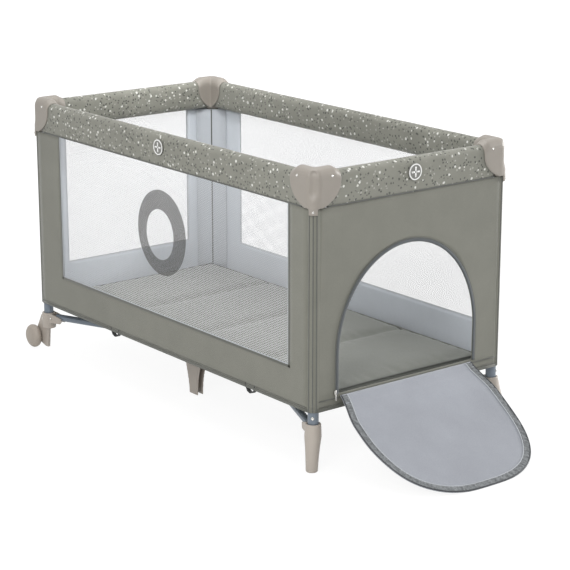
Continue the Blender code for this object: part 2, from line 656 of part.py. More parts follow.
def make_button():
    """Round lock button: a domed disc proud of the cover by its travel, on a stem into the casing."""
    face = COVER_T / 2 + CLEAR + BUTTON_TRAVEL
    inner_end = COVER_T / 2 - STEM_DEPTH
    stem = STEM_D / 2
    disc = BUTTON_D / 2
    profile = [(0, inner_end), (stem, inner_end), (stem, face), (disc, face), (disc, face + BUTTON_T * 0.6),
               (disc * 0.92, face + BUTTON_T), (0, face + BUTTON_T)]
    return revolve(profile, POST_SIDES, along((0, 1, 0), (0, 0, -BUTTON_DROP)))


# Walls in the side frame: u from the carrying post, v into the yard, w up

def panel(outline, thickness, face):
    """Outline in (u, w) made into cloth whose outer face lies at v = face."""
    upright = Matrix(((1, 0, 0), (0, 0, 1), (0, 1, 0))).to_4x4()
    sheet = prism(outline[::-1], thickness, Matrix.Translation((0, face, 0)) @ upright)
    return sheet


def post_sleeve():
    inner = tube_radius(POST_D / 2 + CLEAR, POST_SIDES)
    outer = SLEEVE_D / 2
    profile = [(inner, HEM_HEIGHT), (outer, HEM_HEIGHT), (outer, WALL_TOP), (inner, WALL_TOP)]
    return revolve(profile, POST_SIDES, Matrix())


def wall_end(span):
    """Where a panel ends, just short of the next post's sleeve."""
    radius = SLEEVE_D / 2
    return span - math.sqrt(radius ** 2 - (radius - WALL_T) ** 2) - 2 * CLEAR


def window(span, strips):
    """Mesh window of a side, from u to u, between its two strips."""
    first, last = strips
    return first - SLEEVE_D / 2, span - (last - SLEEVE_D / 2)


def make_window_wall(span, strips):
    """Fabric wall with a sleeve at one end: two side strips and a band, open where the mesh goes."""
    left, right = window(span, strips)
    end = wall_end(span)
    outline = [(0, HEM_HEIGHT), (end, HEM_HEIGHT), (end, WALL_TOP), (right, WALL_TOP), (right, BAND_TOP),
               (left, BAND_TOP), (left, WALL_TOP), (0, WALL_TOP)]
    return join(panel(outline, WALL_T, -SLEEVE_D / 2), post_sleeve())


def make_mesh(span, strips):
    left, right = window(span, strips)
    left += CLEAR
    right -= CLEAR
    outline = [(left, BAND_TOP + CLEAR), (right, BAND_TOP + CLEAR), (right, WALL_TOP), (left, WALL_TOP)]
    return panel(outline, MESH_T, -SLEEVE_D / 2 + (WALL_T - MESH_T) / 2)


def arch_outline(grow, sill, steps):
    """Arch of the door about its middle, grown all round, in (across, height)."""
    half = ARCH_W / 2 + grow
    crown = arc((0, ARCH_SPRING), half, ARCH_TOP - ARCH_SPRING + grow, 0, 180, steps)
    return [(half, sill)] + crown + [(-half, sill)]


def make_door_wall(span):
    end = wall_end(span)
    outline = [(0, HEM_HEIGHT), (end, HEM_HEIGHT), (end, WALL_TOP), (0, WALL_TOP)]
    wall = panel(outline, WALL_T, -SLEEVE_D / 2)
    middle = span / 2 - ARCH_SHIFT
    arch = [(middle + across, height) for across, height in arch_outline(0, SILL_HEIGHT, 20)]
    return join(cut(wall, panel(arch, 4 * WALL_T, -SLEEVE_D / 2 - WALL_T)), post_sleeve())


def make_flap():
    """Door flap, let down: cut to the arch, hung from the sill and sagging to the floor."""
    rise = ARCH_TOP + FLAP_LAP - HINGE_Z
    drop = HINGE_Z - FLAP_TIP
    run = math.sqrt(rise ** 2 - drop ** 2)
    slope = Vector((run, 0, -drop)).normalized()
    below = Vector((-drop, 0, -run)).normalized()
    bm = bmesh.new()
    lip = HINGE_Z - 1.5 * CLEAR
    outline = [(across, height - HINGE_Z) for across, height in arch_outline(FLAP_LAP, lip, 20)]
    outline[0] = (ARCH_W / 2, lip - HINGE_Z)
    outline[-1] = (-ARCH_W / 2, lip - HINGE_Z)
    bm.faces.new([bm.verts.new((across, length, 0)) for across, length in outline])
    rows = 10
    for row in range(1, rows):
        everything = bm.verts[:] + bm.edges[:] + bm.faces[:]
        level = (0, rise * row / rows, 0)
        bmesh.ops.bisect_plane(bm, geom=everything, plane_co=level, plane_no=(0, 1, 0))
    sheet = bmesh.ops.extrude_face_region(bm, geom=bm.faces[:])
    lifted = {item for item in sheet["geom"] if isinstance(item, bmesh.types.BMVert)}
    for vert in bm.verts:
        share = vert.co.y / rise
        offset = FLAP_SAG * math.sin(math.pi * share) + (-FLAP_T / 2 if vert in lifted else FLAP_T / 2)
        vert.co = Vector((0, vert.co.x, 0)) + slope * vert.co.y + below * offset
    face_out(bm)
    bmesh.ops.translate(bm, verts=bm.verts, vec=(HINGE_X, -ARCH_SHIFT, HINGE_Z))
    return bm


def make_slider():
    """Zip slider on the wall beside the flap, with its pull hanging down."""
    across = -ARCH_SHIFT - ARCH_W / 2 - STEM_D
    face = LENGTH / 2 + CLEAR
    half = STEM_D / 2
    body = block((face, across - half, SILL_HEIGHT), (face + half, across + half, SILL_HEIGHT + STEM_D))
    soften_edges(body, [e for e in body.edges if all(v.co.x > face + CLEAR for v in e.verts)], half / 3, 2)
    pull = block((face + half / 3, across - half / 2, SILL_HEIGHT - 2 * STEM_D),
                 (face + half * 2 / 3, across + half / 2, SILL_HEIGHT + half / 2))
    return join(body, pull)


def make_base_cloth():
    """Base cloth that the walls are sewn to, notched round the posts."""
    x = LENGTH / 2 - WALL_T - CLEAR
    y = WIDTH / 2 - WALL_T - CLEAR
    inner_x = POST_X - SLEEVE_D / 2 - CLEAR
    inner_y = POST_Y - SLEEVE_D / 2 - CLEAR
    notch = [(x, inner_y), (inner_x, inner_y), (inner_x, y)]
    outline = notch + [(-a, b) for a, b in notch[::-1]]
    outline += [(-a, -b) for a, b in outline]
    return prism(outline, BASE_CLOTH_T, Matrix.Translation((0, 0, BASE_CLOTH_Z)))


def make_mattress():
    """Folding mattress: panels with a crown each, sewn fold lines between them and drawn-in sides."""
    half_x = POST_X - SLEEVE_D / 2 - MATTRESS_GAP
    half_y = POST_Y - SLEEVE_D / 2 - MATTRESS_GAP
    per_panel = 6
    across = 10
    bm = bmesh.new()
    bmesh.ops.create_grid(bm, x_segments=per_panel * MATTRESS_PANELS, y_segments=across, size=1)
    top = bmesh.ops.extrude_face_region(bm, geom=bm.faces[:])
    upper = {item for item in top["geom"] if isinstance(item, bmesh.types.BMVert)}
    for vert in bm.verts:
        u, v = vert.co.x, vert.co.y
        draw_x = 1 - 0.006 * (1 - v * v)
        panel_place = ((u + 1) / 2 * MATTRESS_PANELS) % 1.0
        crown = math.sin(math.pi * panel_place) ** 0.5 if 0 < panel_place < 1 else 0.0
        side = (1 - v ** 6) * min(1.0, (1 - abs(u)) * 12) ** 0.5
        draw_y = 1 - 0.014 * crown
        thick = (MATTRESS_T - MATTRESS_CHANNEL) * (0.72 + 0.28 * side) + MATTRESS_CHANNEL * crown * side
        height = MATTRESS_Z + (thick if vert in upper else 0)
        vert.co = Vector((u * half_x * draw_x, v * half_y * draw_y, height))
    face_out(bm)
    return bm


def remove_everything():
    for item in list(bpy.data.objects):
        bpy.data.objects.remove(item)


def build_corners(yard, steel, plastic):
    for corner, (sx, sy) in CORNERS.items():
        place = corner_matrix(sx, sy)
        pivot = Vector((sx * BRACKET_PIVOT.x, sy * BRACKET_PIVOT.y, BASE_AXIS))
        yard.add("post_" + corner, make_post(), steel, place, pivot)
        yard.add("cap_" + corner, make_cap(), plastic, place, pivot)
        if corner.startswith("door"):
            yard.add("foot_" + corner, make_foot(), plastic, place, pivot)
            continue
        axle = Vector((sx * (POST_X + WHEEL_OUT), sy * (POST_Y + WHEEL_SIDE), WHEEL_D / 2))
        yard.add("bracket_" + corner, make_wheel_bracket(), plastic, place, pivot)
        yard.add("axle_" + corner, make_axle(), steel, place, axle)
        yard.add("wheel_" + corner.split("_")[1], make_wheel(), plastic, place, axle)


def build_base(yard, steel, plastic):
    yard.add("hub", make_hub(), plastic)
    for corner, (sx, sy) in CORNERS.items():
        pivot = Vector((sx * HUB_PIVOT.x, sy * HUB_PIVOT.y, BASE_AXIS))
        yard.add("base_tube_" + corner, make_base_tube(), steel, corner_matrix(sx, sy), pivot)
    for name, side in (("front", -1), ("back", 1)):
        turn = Matrix.Diagonal((side, side, 1, 1))
        arm_pivot = Vector((side * ARM_OFFSET, side * ARM_PIVOT_Y, BASE_AXIS))
        leg_pivot = Vector((side * ARM_OFFSET, side * LEG_Y, BASE_AXIS))
        yard.add("middle_arm_" + name, make_middle_arm(), steel, turn, arm_pivot)
        yard.add("middle_leg_" + name, make_middle_leg(), plastic, turn, leg_pivot)


def build_rails(yard, steel, plastic, padding):
    sides = (("front", True, -1), ("back", True, 1), ("wheel", False, -1), ("door", False, 1))
    for side, long_side, out in sides:
        span = POST_X if long_side else POST_Y
        ends = (("wheel", -1), ("door", 1)) if long_side else (("front", -1), ("back", 1))
        for end, sign in ends:
            place = rail_matrix(long_side, out, sign)
            pivot = place @ Vector((span - RAIL_PIVOT, 0, 0))
            yard.add("rail_" + side + "_" + end, make_half_rail(span), steel, place, pivot)
            yard.add("cover_" + side + "_" + end, make_cover(span), padding, place, pivot)
        place = rail_matrix(long_side, out, 1)
        yard.add("lock_" + side, make_lock(), plastic, place, place @ Vector((-LOCK_PIN, 0, 0)))
        yard.add("button_" + side, make_button(), plastic, place, place @ Vector((0, 0, -BUTTON_DROP)))


def build_cloth(yard, cloth, net, lining, metal):
    windows = ((0, "front", (STRIP_WHEEL, STRIP_DOOR)), (2, "back", (STRIP_DOOR, STRIP_WHEEL)),
               (3, "wheel", (STRIP_END, STRIP_END)))
    for quarter, side, strips in windows:
        span = 2 * (POST_Y if quarter % 2 else POST_X)
        yard.add("wall_" + side, make_window_wall(span, strips), cloth, side_matrix(quarter))
        yard.add("mesh_" + side, make_mesh(span, strips), net, side_matrix(quarter))
    yard.add("wall_door", make_door_wall(2 * POST_Y), cloth, side_matrix(1))
    yard.add("door_flap", make_flap(), lining, origin=Vector((HINGE_X, -ARCH_SHIFT, HINGE_Z)))
    yard.add("zip_slider", make_slider(), metal)
    yard.add("base_cloth", make_base_cloth(), cloth)
    yard.add("mattress", make_mattress(), cloth)


def main():
    remove_everything()
    yard = Yard()
    steel = finish("grey_blue_steel", (0.14, 0.165, 0.195), 0.45, 0.6)
    plastic = finish("taupe_plastic", (0.41, 0.38, 0.34), 0.45)
    cloth = finish("olive_grey_cloth", (0.22, 0.22, 0.18), 0.9)
    padding = finish("speckled_padding", (0.30, 0.30, 0.25), 0.9)
    net = finish("white_net", (0.85, 0.86, 0.88), 0.8)
    lining = finish("pale_blue_grey_lining", (0.39, 0.41, 0.46), 0.85)
    metal = finish("zip_metal", (0.55, 0.55, 0.54), 0.3, 1.0)
    build_corners(yard, steel, plastic)
    build_base(yard, steel, plastic)
    build_rails(yard, steel, plastic, padding)
    build_cloth(yard, cloth, net, lining, metal)
    yard.centre()
    print("pieces", len(yard.pieces), "yard middle at", tuple(round(v, 6) for v in yard.empty.location))


main()
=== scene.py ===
# %% [markdown]
# A travel play yard: four corner posts, padded top rails that fold in the middle, mesh walls sewn to
# sleeves on the posts, an end wall with a zipped arched door, and a folding mattress on a folding base. The
# CAD model gives every place and every joint. This lesson dresses it: moulded plastic gets rounded edges,
# cloth becomes thin sheets with seams, and each surface gets a finish made of shader nodes.

# %% Load the fixed frame
import math

import bmesh
import bpy
from mathutils import Matrix, Vector, noise


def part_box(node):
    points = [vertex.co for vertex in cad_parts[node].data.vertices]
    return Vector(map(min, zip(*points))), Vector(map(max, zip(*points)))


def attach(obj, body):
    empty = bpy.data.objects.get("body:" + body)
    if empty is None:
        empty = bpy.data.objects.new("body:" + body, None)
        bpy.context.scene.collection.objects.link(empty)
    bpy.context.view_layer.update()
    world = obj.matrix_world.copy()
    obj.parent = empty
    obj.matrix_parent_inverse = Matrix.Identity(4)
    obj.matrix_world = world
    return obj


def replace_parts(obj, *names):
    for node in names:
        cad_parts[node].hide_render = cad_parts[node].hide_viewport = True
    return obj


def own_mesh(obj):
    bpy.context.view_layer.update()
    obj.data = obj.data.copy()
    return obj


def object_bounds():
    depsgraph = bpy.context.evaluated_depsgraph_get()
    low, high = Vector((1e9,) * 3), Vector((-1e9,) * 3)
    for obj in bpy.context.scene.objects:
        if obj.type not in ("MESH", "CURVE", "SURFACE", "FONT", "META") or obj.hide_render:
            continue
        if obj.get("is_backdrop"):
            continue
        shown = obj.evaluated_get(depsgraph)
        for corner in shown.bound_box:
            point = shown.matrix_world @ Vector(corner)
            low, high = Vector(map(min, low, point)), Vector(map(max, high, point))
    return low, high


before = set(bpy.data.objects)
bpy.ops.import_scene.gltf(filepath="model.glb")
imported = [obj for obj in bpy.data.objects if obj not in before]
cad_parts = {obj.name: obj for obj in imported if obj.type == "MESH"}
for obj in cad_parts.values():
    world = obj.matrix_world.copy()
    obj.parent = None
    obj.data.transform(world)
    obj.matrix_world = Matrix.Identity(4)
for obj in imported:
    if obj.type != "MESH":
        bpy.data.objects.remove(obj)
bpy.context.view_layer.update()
scene = bpy.context.scene

# %% [markdown]
# The yard has its own middle, which isn't the middle of the whole part, because the open door flap reaches
# far out at one end. Every piece is drawn round that middle, with the door end at +X and the front at -Y,
# and is moved once when it is finished. Heights and post places are read from the CAD boxes.

# %% Main sizes of the yard
def box_middle(node):
    low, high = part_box(node)
    return (low + high) / 2


first_axis = box_middle("post_wheel_front")
last_axis = box_middle("post_door_back")
YARD = Vector(((first_axis.x + last_axis.x) / 2, (first_axis.y + last_axis.y) / 2, 0))
POST_X = (last_axis.x - first_axis.x) / 2
POST_Y = (last_axis.y - first_axis.y) / 2
SLEEVE_R = 0.018
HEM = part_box("wall_front")[0].z
WALL_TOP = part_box("wall_front")[1].z
WALL_HEIGHT = WALL_TOP - HEM
BAND_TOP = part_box("mesh_front")[0].z
rail_low, rail_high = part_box("rail_front_door")
RAIL_AXIS = (rail_low.z + rail_high.z) / 2
CORNERS = {"wheel_front": (-1, -1), "door_front": (1, -1), "door_back": (1, 1), "wheel_back": (-1, 1)}
POSTS = {corner: Vector((sx * POST_X, sy * POST_Y, 0)) for corner, (sx, sy) in CORNERS.items()}
OUTWARD = {corner: Vector((sx, sy, 0)).normalized() for corner, (sx, sy) in CORNERS.items()}
LONG_WAYS = (("front", -1), ("back", 1))
UP = Vector((0, 0, 1))
FULL_TURN = 2 * math.pi
print("posts at", round(POST_X, 4), round(POST_Y, 4), "rail axis", round(RAIL_AXIS, 4))

# %% [markdown]
# A finished piece is a mesh object at the origin that rides on a CAD body. It keeps the place of every
# point in an attribute, so that the weave stays on the cloth when the yard folds and the cloth crumples.

# %% Helpers that finish a piece
def dress(name, mesh, finishes, body):
    """Make an object of a finished mesh and let it ride on a body."""
    mesh.shade_smooth()
    for finish in finishes:
        mesh.materials.append(finish)
    piece = bpy.data.objects.new(name, mesh)
    scene.collection.objects.link(piece)
    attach(piece, body)
    return piece


def publish(name, bm, finishes, body):
    """Turn a bmesh, drawn round the yard's middle, into a named piece."""
    bmesh.ops.translate(bm, verts=bm.verts, vec=YARD)
    mesh = bpy.data.meshes.new(name)
    bm.to_mesh(mesh)
    bm.free()
    places = mesh.attributes.new("place", "FLOAT_VECTOR", "POINT")
    for item, vert in zip(places.data, mesh.vertices):
        item.vector = vert.co
    return dress(name, mesh, finishes, body)


def thicken(piece, thickness, inside=0):
    """Give a sheet its thickness; the inner side may take another finish."""
    wall = piece.modifiers.new("thickness", "SOLIDIFY")
    wall.thickness = thickness
    wall.offset = -1.0
    wall.use_even_offset = True
    wall.material_offset = inside


def rounder(piece):
    """Smooth a piece with a subdivision surface."""
    finer = piece.modifiers.new("rounder", "SUBSURF")
    finer.levels = 1
    finer.render_levels = 1


def clamped(value):
    return max(0.0, min(1.0, value))


def eased(value):
    """Value clamped between 0 and 1 and eased at both ends."""
    value = clamped(value)
    return value * value * (3 - 2 * value)


def ripple(place, scale, seed):
    """Soft noise between about -1 and 1, the same on every run."""
    return noise.noise(Vector(place) * scale + Vector((seed, 2.3 * seed, 5.1 * seed)))


print("helpers ready")

# %% [markdown]
# Sheets and bands start as a flat grid from create_grid, whose rows and columns are then laid on the lines
# that the real panel is cut and sewn along. A grid keeps its rows, so seams and edges stay straight.

# %% Grids, tubes and blocks
def graded(stops, step):
    """Values that hit every stop and lie about a step apart between them."""
    values = [stops[0]]
    for start, end in zip(stops, stops[1:]):
        count = max(1, round((end - start) / step))
        values += [start + (end - start) * i / count for i in range(1, count + 1)]
    return values


def laid_grid(columns, rows, lay):
    """Grid with one vertex for each column and row value, put in place by lay(column, row)."""
    bm = bmesh.new()
    across = len(columns) - 1
    up = len(rows) - 1
    bmesh.ops.create_grid(bm, x_segments=across, y_segments=up, size=0.5)
    for vert in bm.verts:
        column = columns[round((vert.co.x + 0.5) * across)]
        row = rows[round((vert.co.y + 0.5) * up)]
        vert.co = Vector(lay(column, row))
    return bm


def swept_tube(points, radius, sides, normal, flat=1.0):
    """Round or flattened tube along points; normal is the direction that stays across the tube."""
    points = [Vector(point) for point in points]
    normal = Vector(normal).normalized()

    def lay(step, turn):
        ahead = points[min(step + 1, len(points) - 1)] - points[max(step - 1, 0)]
        side = ahead.normalized().cross(normal).normalized()
        angle = FULL_TURN * turn / sides
        return points[step] + side * (radius * math.cos(angle)) + normal * (radius * flat * math.sin(angle))

    bm = laid_grid(list(range(len(points))), list(range(sides + 1)), lay)
    bmesh.ops.remove_doubles(bm, verts=bm.verts, dist=1e-6)
    bmesh.ops.holes_fill(bm, edges=bm.edges)
    bmesh.ops.recalc_face_normals(bm, faces=bm.faces)
    return bm


def merge_into(target, source):
    """Add one bmesh to another."""
    mesh = bpy.data.meshes.new("merge")
    source.to_mesh(mesh)
    source.free()
    target.from_mesh(mesh)
    bpy.data.meshes.remove(mesh)
    return target


def spun(profile, steps, matrix):
    """Turn a profile of (radius, height) points about Z, then put it in place."""
    bm = bmesh.new()
    verts = [bm.verts.new((radius, 0, height)) for radius, height in profile]
    edges = [bm.edges.new(pair) for pair in zip(verts, verts[1:])]
    bmesh.ops.spin(bm, geom=verts + edges, cent=(0, 0, 0), axis=UP, angle=FULL_TURN, steps=steps,
                   use_merge=True)
    bmesh.ops.remove_doubles(bm, verts=bm.verts, dist=1e-6)
    bmesh.ops.recalc_face_normals(bm, faces=bm.faces)
    bm.transform(matrix)
    return bm


def block(size, middle=(0, 0, 0), bevel=0.0, segments=3, bevelled=lambda edge: True):
    """Box of a size round a middle; some or all of its edges may be bevelled."""
    bm = bmesh.new()
    bmesh.ops.create_cube(bm, size=1.0)
    bmesh.ops.scale(bm, vec=size, verts=bm.verts)
    if bevel:
        edges = [edge for edge in bm.edges if bevelled(edge)]
        bmesh.ops.bevel(bm, geom=edges, offset=bevel, segments=segments, profile=0.5, affect="EDGES",
                        material=-1)
    bmesh.ops.translate(bm, vec=middle, verts=bm.verts)
    return bm


def bridged_ring(segments):
    """Circles of radius 1 and 2 with faces between them."""
    bm = bmesh.new()
    edges = []
    for radius in (1.0, 2.0):
        made = bmesh.ops.create_circle(bm, segments=segments, radius=radius)["verts"]
        edges += list({edge for vert in made for edge in vert.link_edges})
    bmesh.ops.bridge_loops(bm, edges=edges)
    return bm


def turned(bm, direction):
    """Make the faces of a sheet look to one side."""
    bmesh.ops.recalc_face_normals(bm, faces=bm.faces)
    if sum(face.normal.dot(direction) for face in bm.faces) < 0:
        bmesh.ops.reverse_faces(bm, faces=bm.faces)
    return bm


def cut_out(bm, inside):
    """Delete the faces whose middle is inside."""
    faces = [face for face in bm.faces if inside(face.calc_center_median())]
    bmesh.ops.delete(bm, geom=faces, context="FACES")
    return bm


def facing(direction, place):
    """Matrix that stands a shape drawn along +Z on a place, facing a direction."""
    return Matrix.Translation(place) @ Vector(direction).to_track_quat("Z", "Y").to_matrix().to_4x4()


print("grid, tube and block helpers ready")

# %% [markdown]
# Finishes come next. Each one is a small node tree on the Principled shader. A helper adds a node and fills
# its sockets, which keeps every tree short enough to read.

# %% Node helpers
def srgb(red, green, blue):
    """Linear colour of an 8-bit display colour."""
    shades = [value / 255 for value in (red, green, blue)]
    return [s / 12.92 if s <= 0.04045 else ((s + 0.055) / 1.055) ** 2.4 for s in shades] + [1.0]


def shaded(colour, share):
    return [value * share for value in colour[:3]] + [1.0]


def new_finish(name):
    material = bpy.data.materials.new(name)
    material.use_nodes = True
    return material, material.node_tree, material.node_tree.nodes["Principled BSDF"]


def fill(tree, node, inputs):
    """Set or link the inputs of a node."""
    for key, value in inputs.items():
        if isinstance(value, bpy.types.NodeSocket):
            tree.links.new(value, node.inputs[key])
        else:
            node.inputs[key].default_value = value


def put(tree, kind, inputs, **settings):
    """Add a node, set its properties and fill its inputs."""
    node = tree.nodes.new("ShaderNode" + kind)
    for key, value in settings.items():
        setattr(node, key, value)
    fill(tree, node, inputs)
    return node


def maths(tree, operation, first, second=0.0):
    return put(tree, "Math", {0: first, 1: second}, operation=operation).outputs[0]


def vectors(tree, operation, inputs, output=0):
    return put(tree, "VectorMath", inputs, operation=operation).outputs[output]


def two_tone(tree, factor, low, high):
    """Colour between two colours by a factor."""
    return put(tree, "Mix", {0: factor, 6: low, 7: high}, data_type="RGBA").outputs[2]


def between(tree, value, low, high, start=0.0, end=1.0):
    """Value from one range put into another, clamped."""
    inputs = {"Value": value, "From Min": low, "From Max": high, "To Min": start, "To Max": end}
    return put(tree, "MapRange", inputs).outputs["Result"]


def clouded(tree, place, scale, detail=2.0, roughness=0.5, output=0):
    inputs = {"Vector": place, "Scale": scale, "Detail": detail, "Roughness": roughness}
    return put(tree, "TexNoise", inputs).outputs[output]


def bumped(tree, height, strength, distance, **under):
    inputs = {"Strength": strength, "Distance": distance, "Height": height, **under}
    return put(tree, "Bump", inputs).outputs[0]


def cloth_place(tree):
    """Place on the cloth, whole and as single axes."""
    place = put(tree, "Attribute", {}, attribute_name="place").outputs["Vector"]
    return place, put(tree, "SeparateXYZ", {0: place}).outputs


print("node helpers ready")

# %% [markdown]
# The walls are a plain woven polyester, olive grey outside and pale blue grey inside. Threads at this scale
# are about half a millimetre, so the weave is two crossed band patterns that lift the surface, with a soft
# mottle over it as dyed cloth has. A little sheen makes its edges glow as loose fibres do. The flap's
# lining is painted darker, with a larger, stronger mottle: painted shade of its soft folds.

# %% Woven cloth
def woven(name, colour, thread=0.0011, mottle=0.07, clouds=11.0):
    material, tree, shader = new_finish(name)
    place, apart = cloth_place(tree)
    bands = []
    for axis in "XY":
        line = maths(tree, "ADD", apart[axis], apart["Z"])
        bands.append(maths(tree, "SINE", maths(tree, "MULTIPLY", line, FULL_TURN / thread)))
    weave = maths(tree, "MULTIPLY", *bands)
    cloud = clouded(tree, place, clouds, 3.0, 0.6)
    slub = clouded(tree, place, 420.0, 1.0)
    tone = maths(tree, "ADD", maths(tree, "MULTIPLY", cloud, 0.6), maths(tree, "MULTIPLY", slub, 0.4))
    spread = between(tree, tone, 0.32, 0.68)
    raised = bumped(tree, weave, 0.35, 0.0002)
    fill(tree, shader, {
        "Base Color": two_tone(tree, spread, shaded(colour, 1 - mottle), shaded(colour, 1 + mottle)),
        "Roughness": between(tree, weave, -1, 1, 0.84, 0.9),
        "Normal": bumped(tree, cloud, 0.25, 0.002, Normal=raised),
        "Sheen Weight": 0.25, "Sheen Roughness": 0.5, "Specular IOR Level": 0.25})
    return material


olive_cloth = woven("olive_grey_weave", srgb(119, 119, 110))
lining_cloth = woven("blue_grey_lining", srgb(202, 207, 213), mottle=0.04)
# The lining where it passes round the posts, in a darker tone: painted shade in the corners.
shaded_post_lining = woven("painted_shade_post_lining", srgb(180, 184, 189), mottle=0.04)
# The flap's lining, darker and with large soft patches: painted shade of its folds.
shaded_flap_lining = woven("painted_shade_flap_lining", srgb(142, 145, 152), mottle=0.10, clouds=6.0)
mattress_cloth = woven("mattress_weave", srgb(118, 120, 114), mottle=0.05)
hem_tape = woven("dark_hem_tape", srgb(96, 97, 91), thread=0.002)
seam_cord = woven("dark_seam_cord", srgb(92, 94, 90), thread=0.0016)
edge_cord = woven("pale_edge_cord", srgb(176, 180, 184), thread=0.0016)
strap_web = woven("dark_strap_web", srgb(62, 64, 64), thread=0.0025)
print("cloth finishes", olive_cloth.name, lining_cloth.name)

# %% [markdown]
# The padded rail covers are the same cloth printed with small chips, like terrazzo. A Voronoi cell pattern
# gives one point to each cell; where the surface passes close to such a point a chip shows. Three patterns
# of different sizes make the pale, dark and white chips, and a little noise bends their outlines so that
# they aren't perfect discs.

# %% Speckled padding
CHIPS = ((78.0, 0.0033, 3.1, 0.8, srgb(160, 160, 152)), (94.0, 0.0033, 7.7, 0.9, srgb(84, 85, 79)),
         (55.0, 0.0039, 1.3, 0.85, srgb(210, 210, 204)))


def chips(tree, place, scale, radius, shift, share):
    """Mask of chips of about this radius round a share of the points of a cell pattern."""
    moved = put(tree, "Mapping", {"Vector": place, "Location": (shift, 2 * shift, 3 * shift)}).outputs[0]
    bent = clouded(tree, place, 160.0, 1.0, output=1)
    wobble = vectors(tree, "SCALE", {0: bent, "Scale": 0.004})
    at = vectors(tree, "ADD", {0: moved, 1: wobble})
    cells = put(tree, "TexVoronoi", {"Vector": at, "Scale": scale}).outputs
    near = between(tree, cells["Distance"], radius * scale, radius * scale * 0.75)
    pick = put(tree, "SeparateColor", {0: cells["Color"]}).outputs[0]
    return maths(tree, "MULTIPLY", near, maths(tree, "LESS_THAN", pick, share))


def printed(name, colour):
    material, tree, shader = new_finish(name)
    place = cloth_place(tree)[0]
    cloud = clouded(tree, place, 14.0, 3.0)
    ground = two_tone(tree, between(tree, cloud, 0.35, 0.65), shaded(colour, 0.95), shaded(colour, 1.05))
    for scale, radius, shift, share, chip_colour in CHIPS:
        ground = two_tone(tree, chips(tree, place, scale, radius, shift, share), ground, chip_colour)
    fibre = clouded(tree, place, 900.0, 1.0)
    fine = bumped(tree, fibre, 0.2, 0.0003)
    fill(tree, shader, {
        "Base Color": ground,
        "Roughness": between(tree, fibre, 0.3, 0.7, 0.82, 0.92),
        "Normal": bumped(tree, cloud, 0.3, 0.003, Normal=fine),
        "Sheen Weight": 0.2, "Specular IOR Level": 0.25})
    return material


speckled = printed("speckled_padding_cloth", srgb(129, 129, 120))
print("printed finish", speckled.name)

# %% [markdown]
# The windows are a fine net. Its holes are far smaller than any panel, so the net is one sheet whose alpha
# is a diagonal lattice: thread where either of two crossed band patterns is high, and air between. Knitting
# under tension draws the holes into diamonds twice as wide as they are high. The nets that are seen from
# inside the yard are finer than the front one, and their threads are painted greyer as painted shade.

# %% Net
NET_STRETCH = 0.5


def netting(name, colour, pitch, thread):
    material, tree, shader = new_finish(name)
    place, apart = cloth_place(tree)
    level = maths(tree, "MULTIPLY", maths(tree, "ADD", apart["X"], apart["Y"]), NET_STRETCH)
    lines = []
    for sign in ("ADD", "SUBTRACT"):
        slope = maths(tree, sign, level, apart["Z"])
        cell = maths(tree, "FRACT", maths(tree, "MULTIPLY", slope, 1 / (pitch * math.sqrt(2))))
        middle = maths(tree, "ABSOLUTE", maths(tree, "SUBTRACT", cell, 0.5))
        lines.append(maths(tree, "GREATER_THAN", middle, 0.5 - thread / pitch / 2))
    worn = between(tree, clouded(tree, place, 300.0), 0.3, 0.7)
    fill(tree, shader, {
        "Alpha": maths(tree, "MAXIMUM", *lines),
        "Base Color": two_tone(tree, worn, shaded(colour, 0.94), colour),
        "Roughness": 0.8, "Sheen Weight": 0.2})
    return material


white_net = netting("white_net_mesh", srgb(226, 227, 230), 0.0044, 0.00049)
# Threads of the nets seen from inside, painted greyer: painted shade.
shaded_far_net = netting("painted_shade_net_mesh", srgb(187, 188, 191), 0.0019, 0.00039)
printed_net = netting("printed_net_ring", srgb(84, 84, 83), 0.0022, 0.00114)
print("net finishes", white_net.name, shaded_far_net.name, printed_net.name)

# %% [markdown]
# Caps, feet and wheels are moulded in taupe plastic with a fine spark-eroded grain; the caps take a darker
# copy of it, painted shade. The tubes have a satin blue-grey powder coat, whose skin has the slight waves
# that paint leaves. Screws, rivets and the slider are bright metal.

# %% Plastic and metal
def solid_finish(name, colour, roughness, grain, depth=0.0002, mottle=0.03, metallic=0.0):
    material, tree, shader = new_finish(name)
    place = put(tree, "TexCoord", {}).outputs["Object"]
    skin = clouded(tree, place, grain)
    worn = clouded(tree, place, 23.0, 4.0, 0.65)
    fill(tree, shader, {
        "Base Color": two_tone(tree, between(tree, worn, 0.3, 0.7), shaded(colour, 1 - mottle),
                               shaded(colour, 1 + mottle)),
        "Roughness": between(tree, worn, 0.3, 0.7, roughness - 0.05, roughness + 0.05),
        "Normal": bumped(tree, skin, 0.25, depth), "Metallic": metallic})
    return material


taupe = solid_finish("taupe_moulding", srgb(166, 158, 149), 0.42, 1400.0)
# The caps' taupe, darker than the feet's: painted shade.
shaded_cap_taupe = solid_finish("painted_shade_cap_moulding", srgb(141, 135, 127), 0.42, 1400.0)
wheel_taupe = solid_finish("taupe_tread", srgb(158, 149, 139), 0.5, 900.0, 0.0003, 0.04)
steel = solid_finish("blue_grey_coat", srgb(112, 121, 131), 0.4, 600.0, metallic=0.3)
bright = solid_finish("bright_metal", srgb(205, 204, 200), 0.25, 500.0, 0.0001, 0.05, 1.0)
# Near-black for the screw sockets: painted shade in the recess.
socket_shade_finish = solid_finish("painted_socket_shade", srgb(52, 52, 52), 0.6, 500.0, 0.0001, 0.05)
mark_white = solid_finish("white_mark", srgb(226, 226, 224), 0.6, 800.0)
mark_ground = solid_finish("grey_mark_ground", srgb(118, 118, 114), 0.55, 800.0)
print("solid finishes", taupe.name, steel.name)

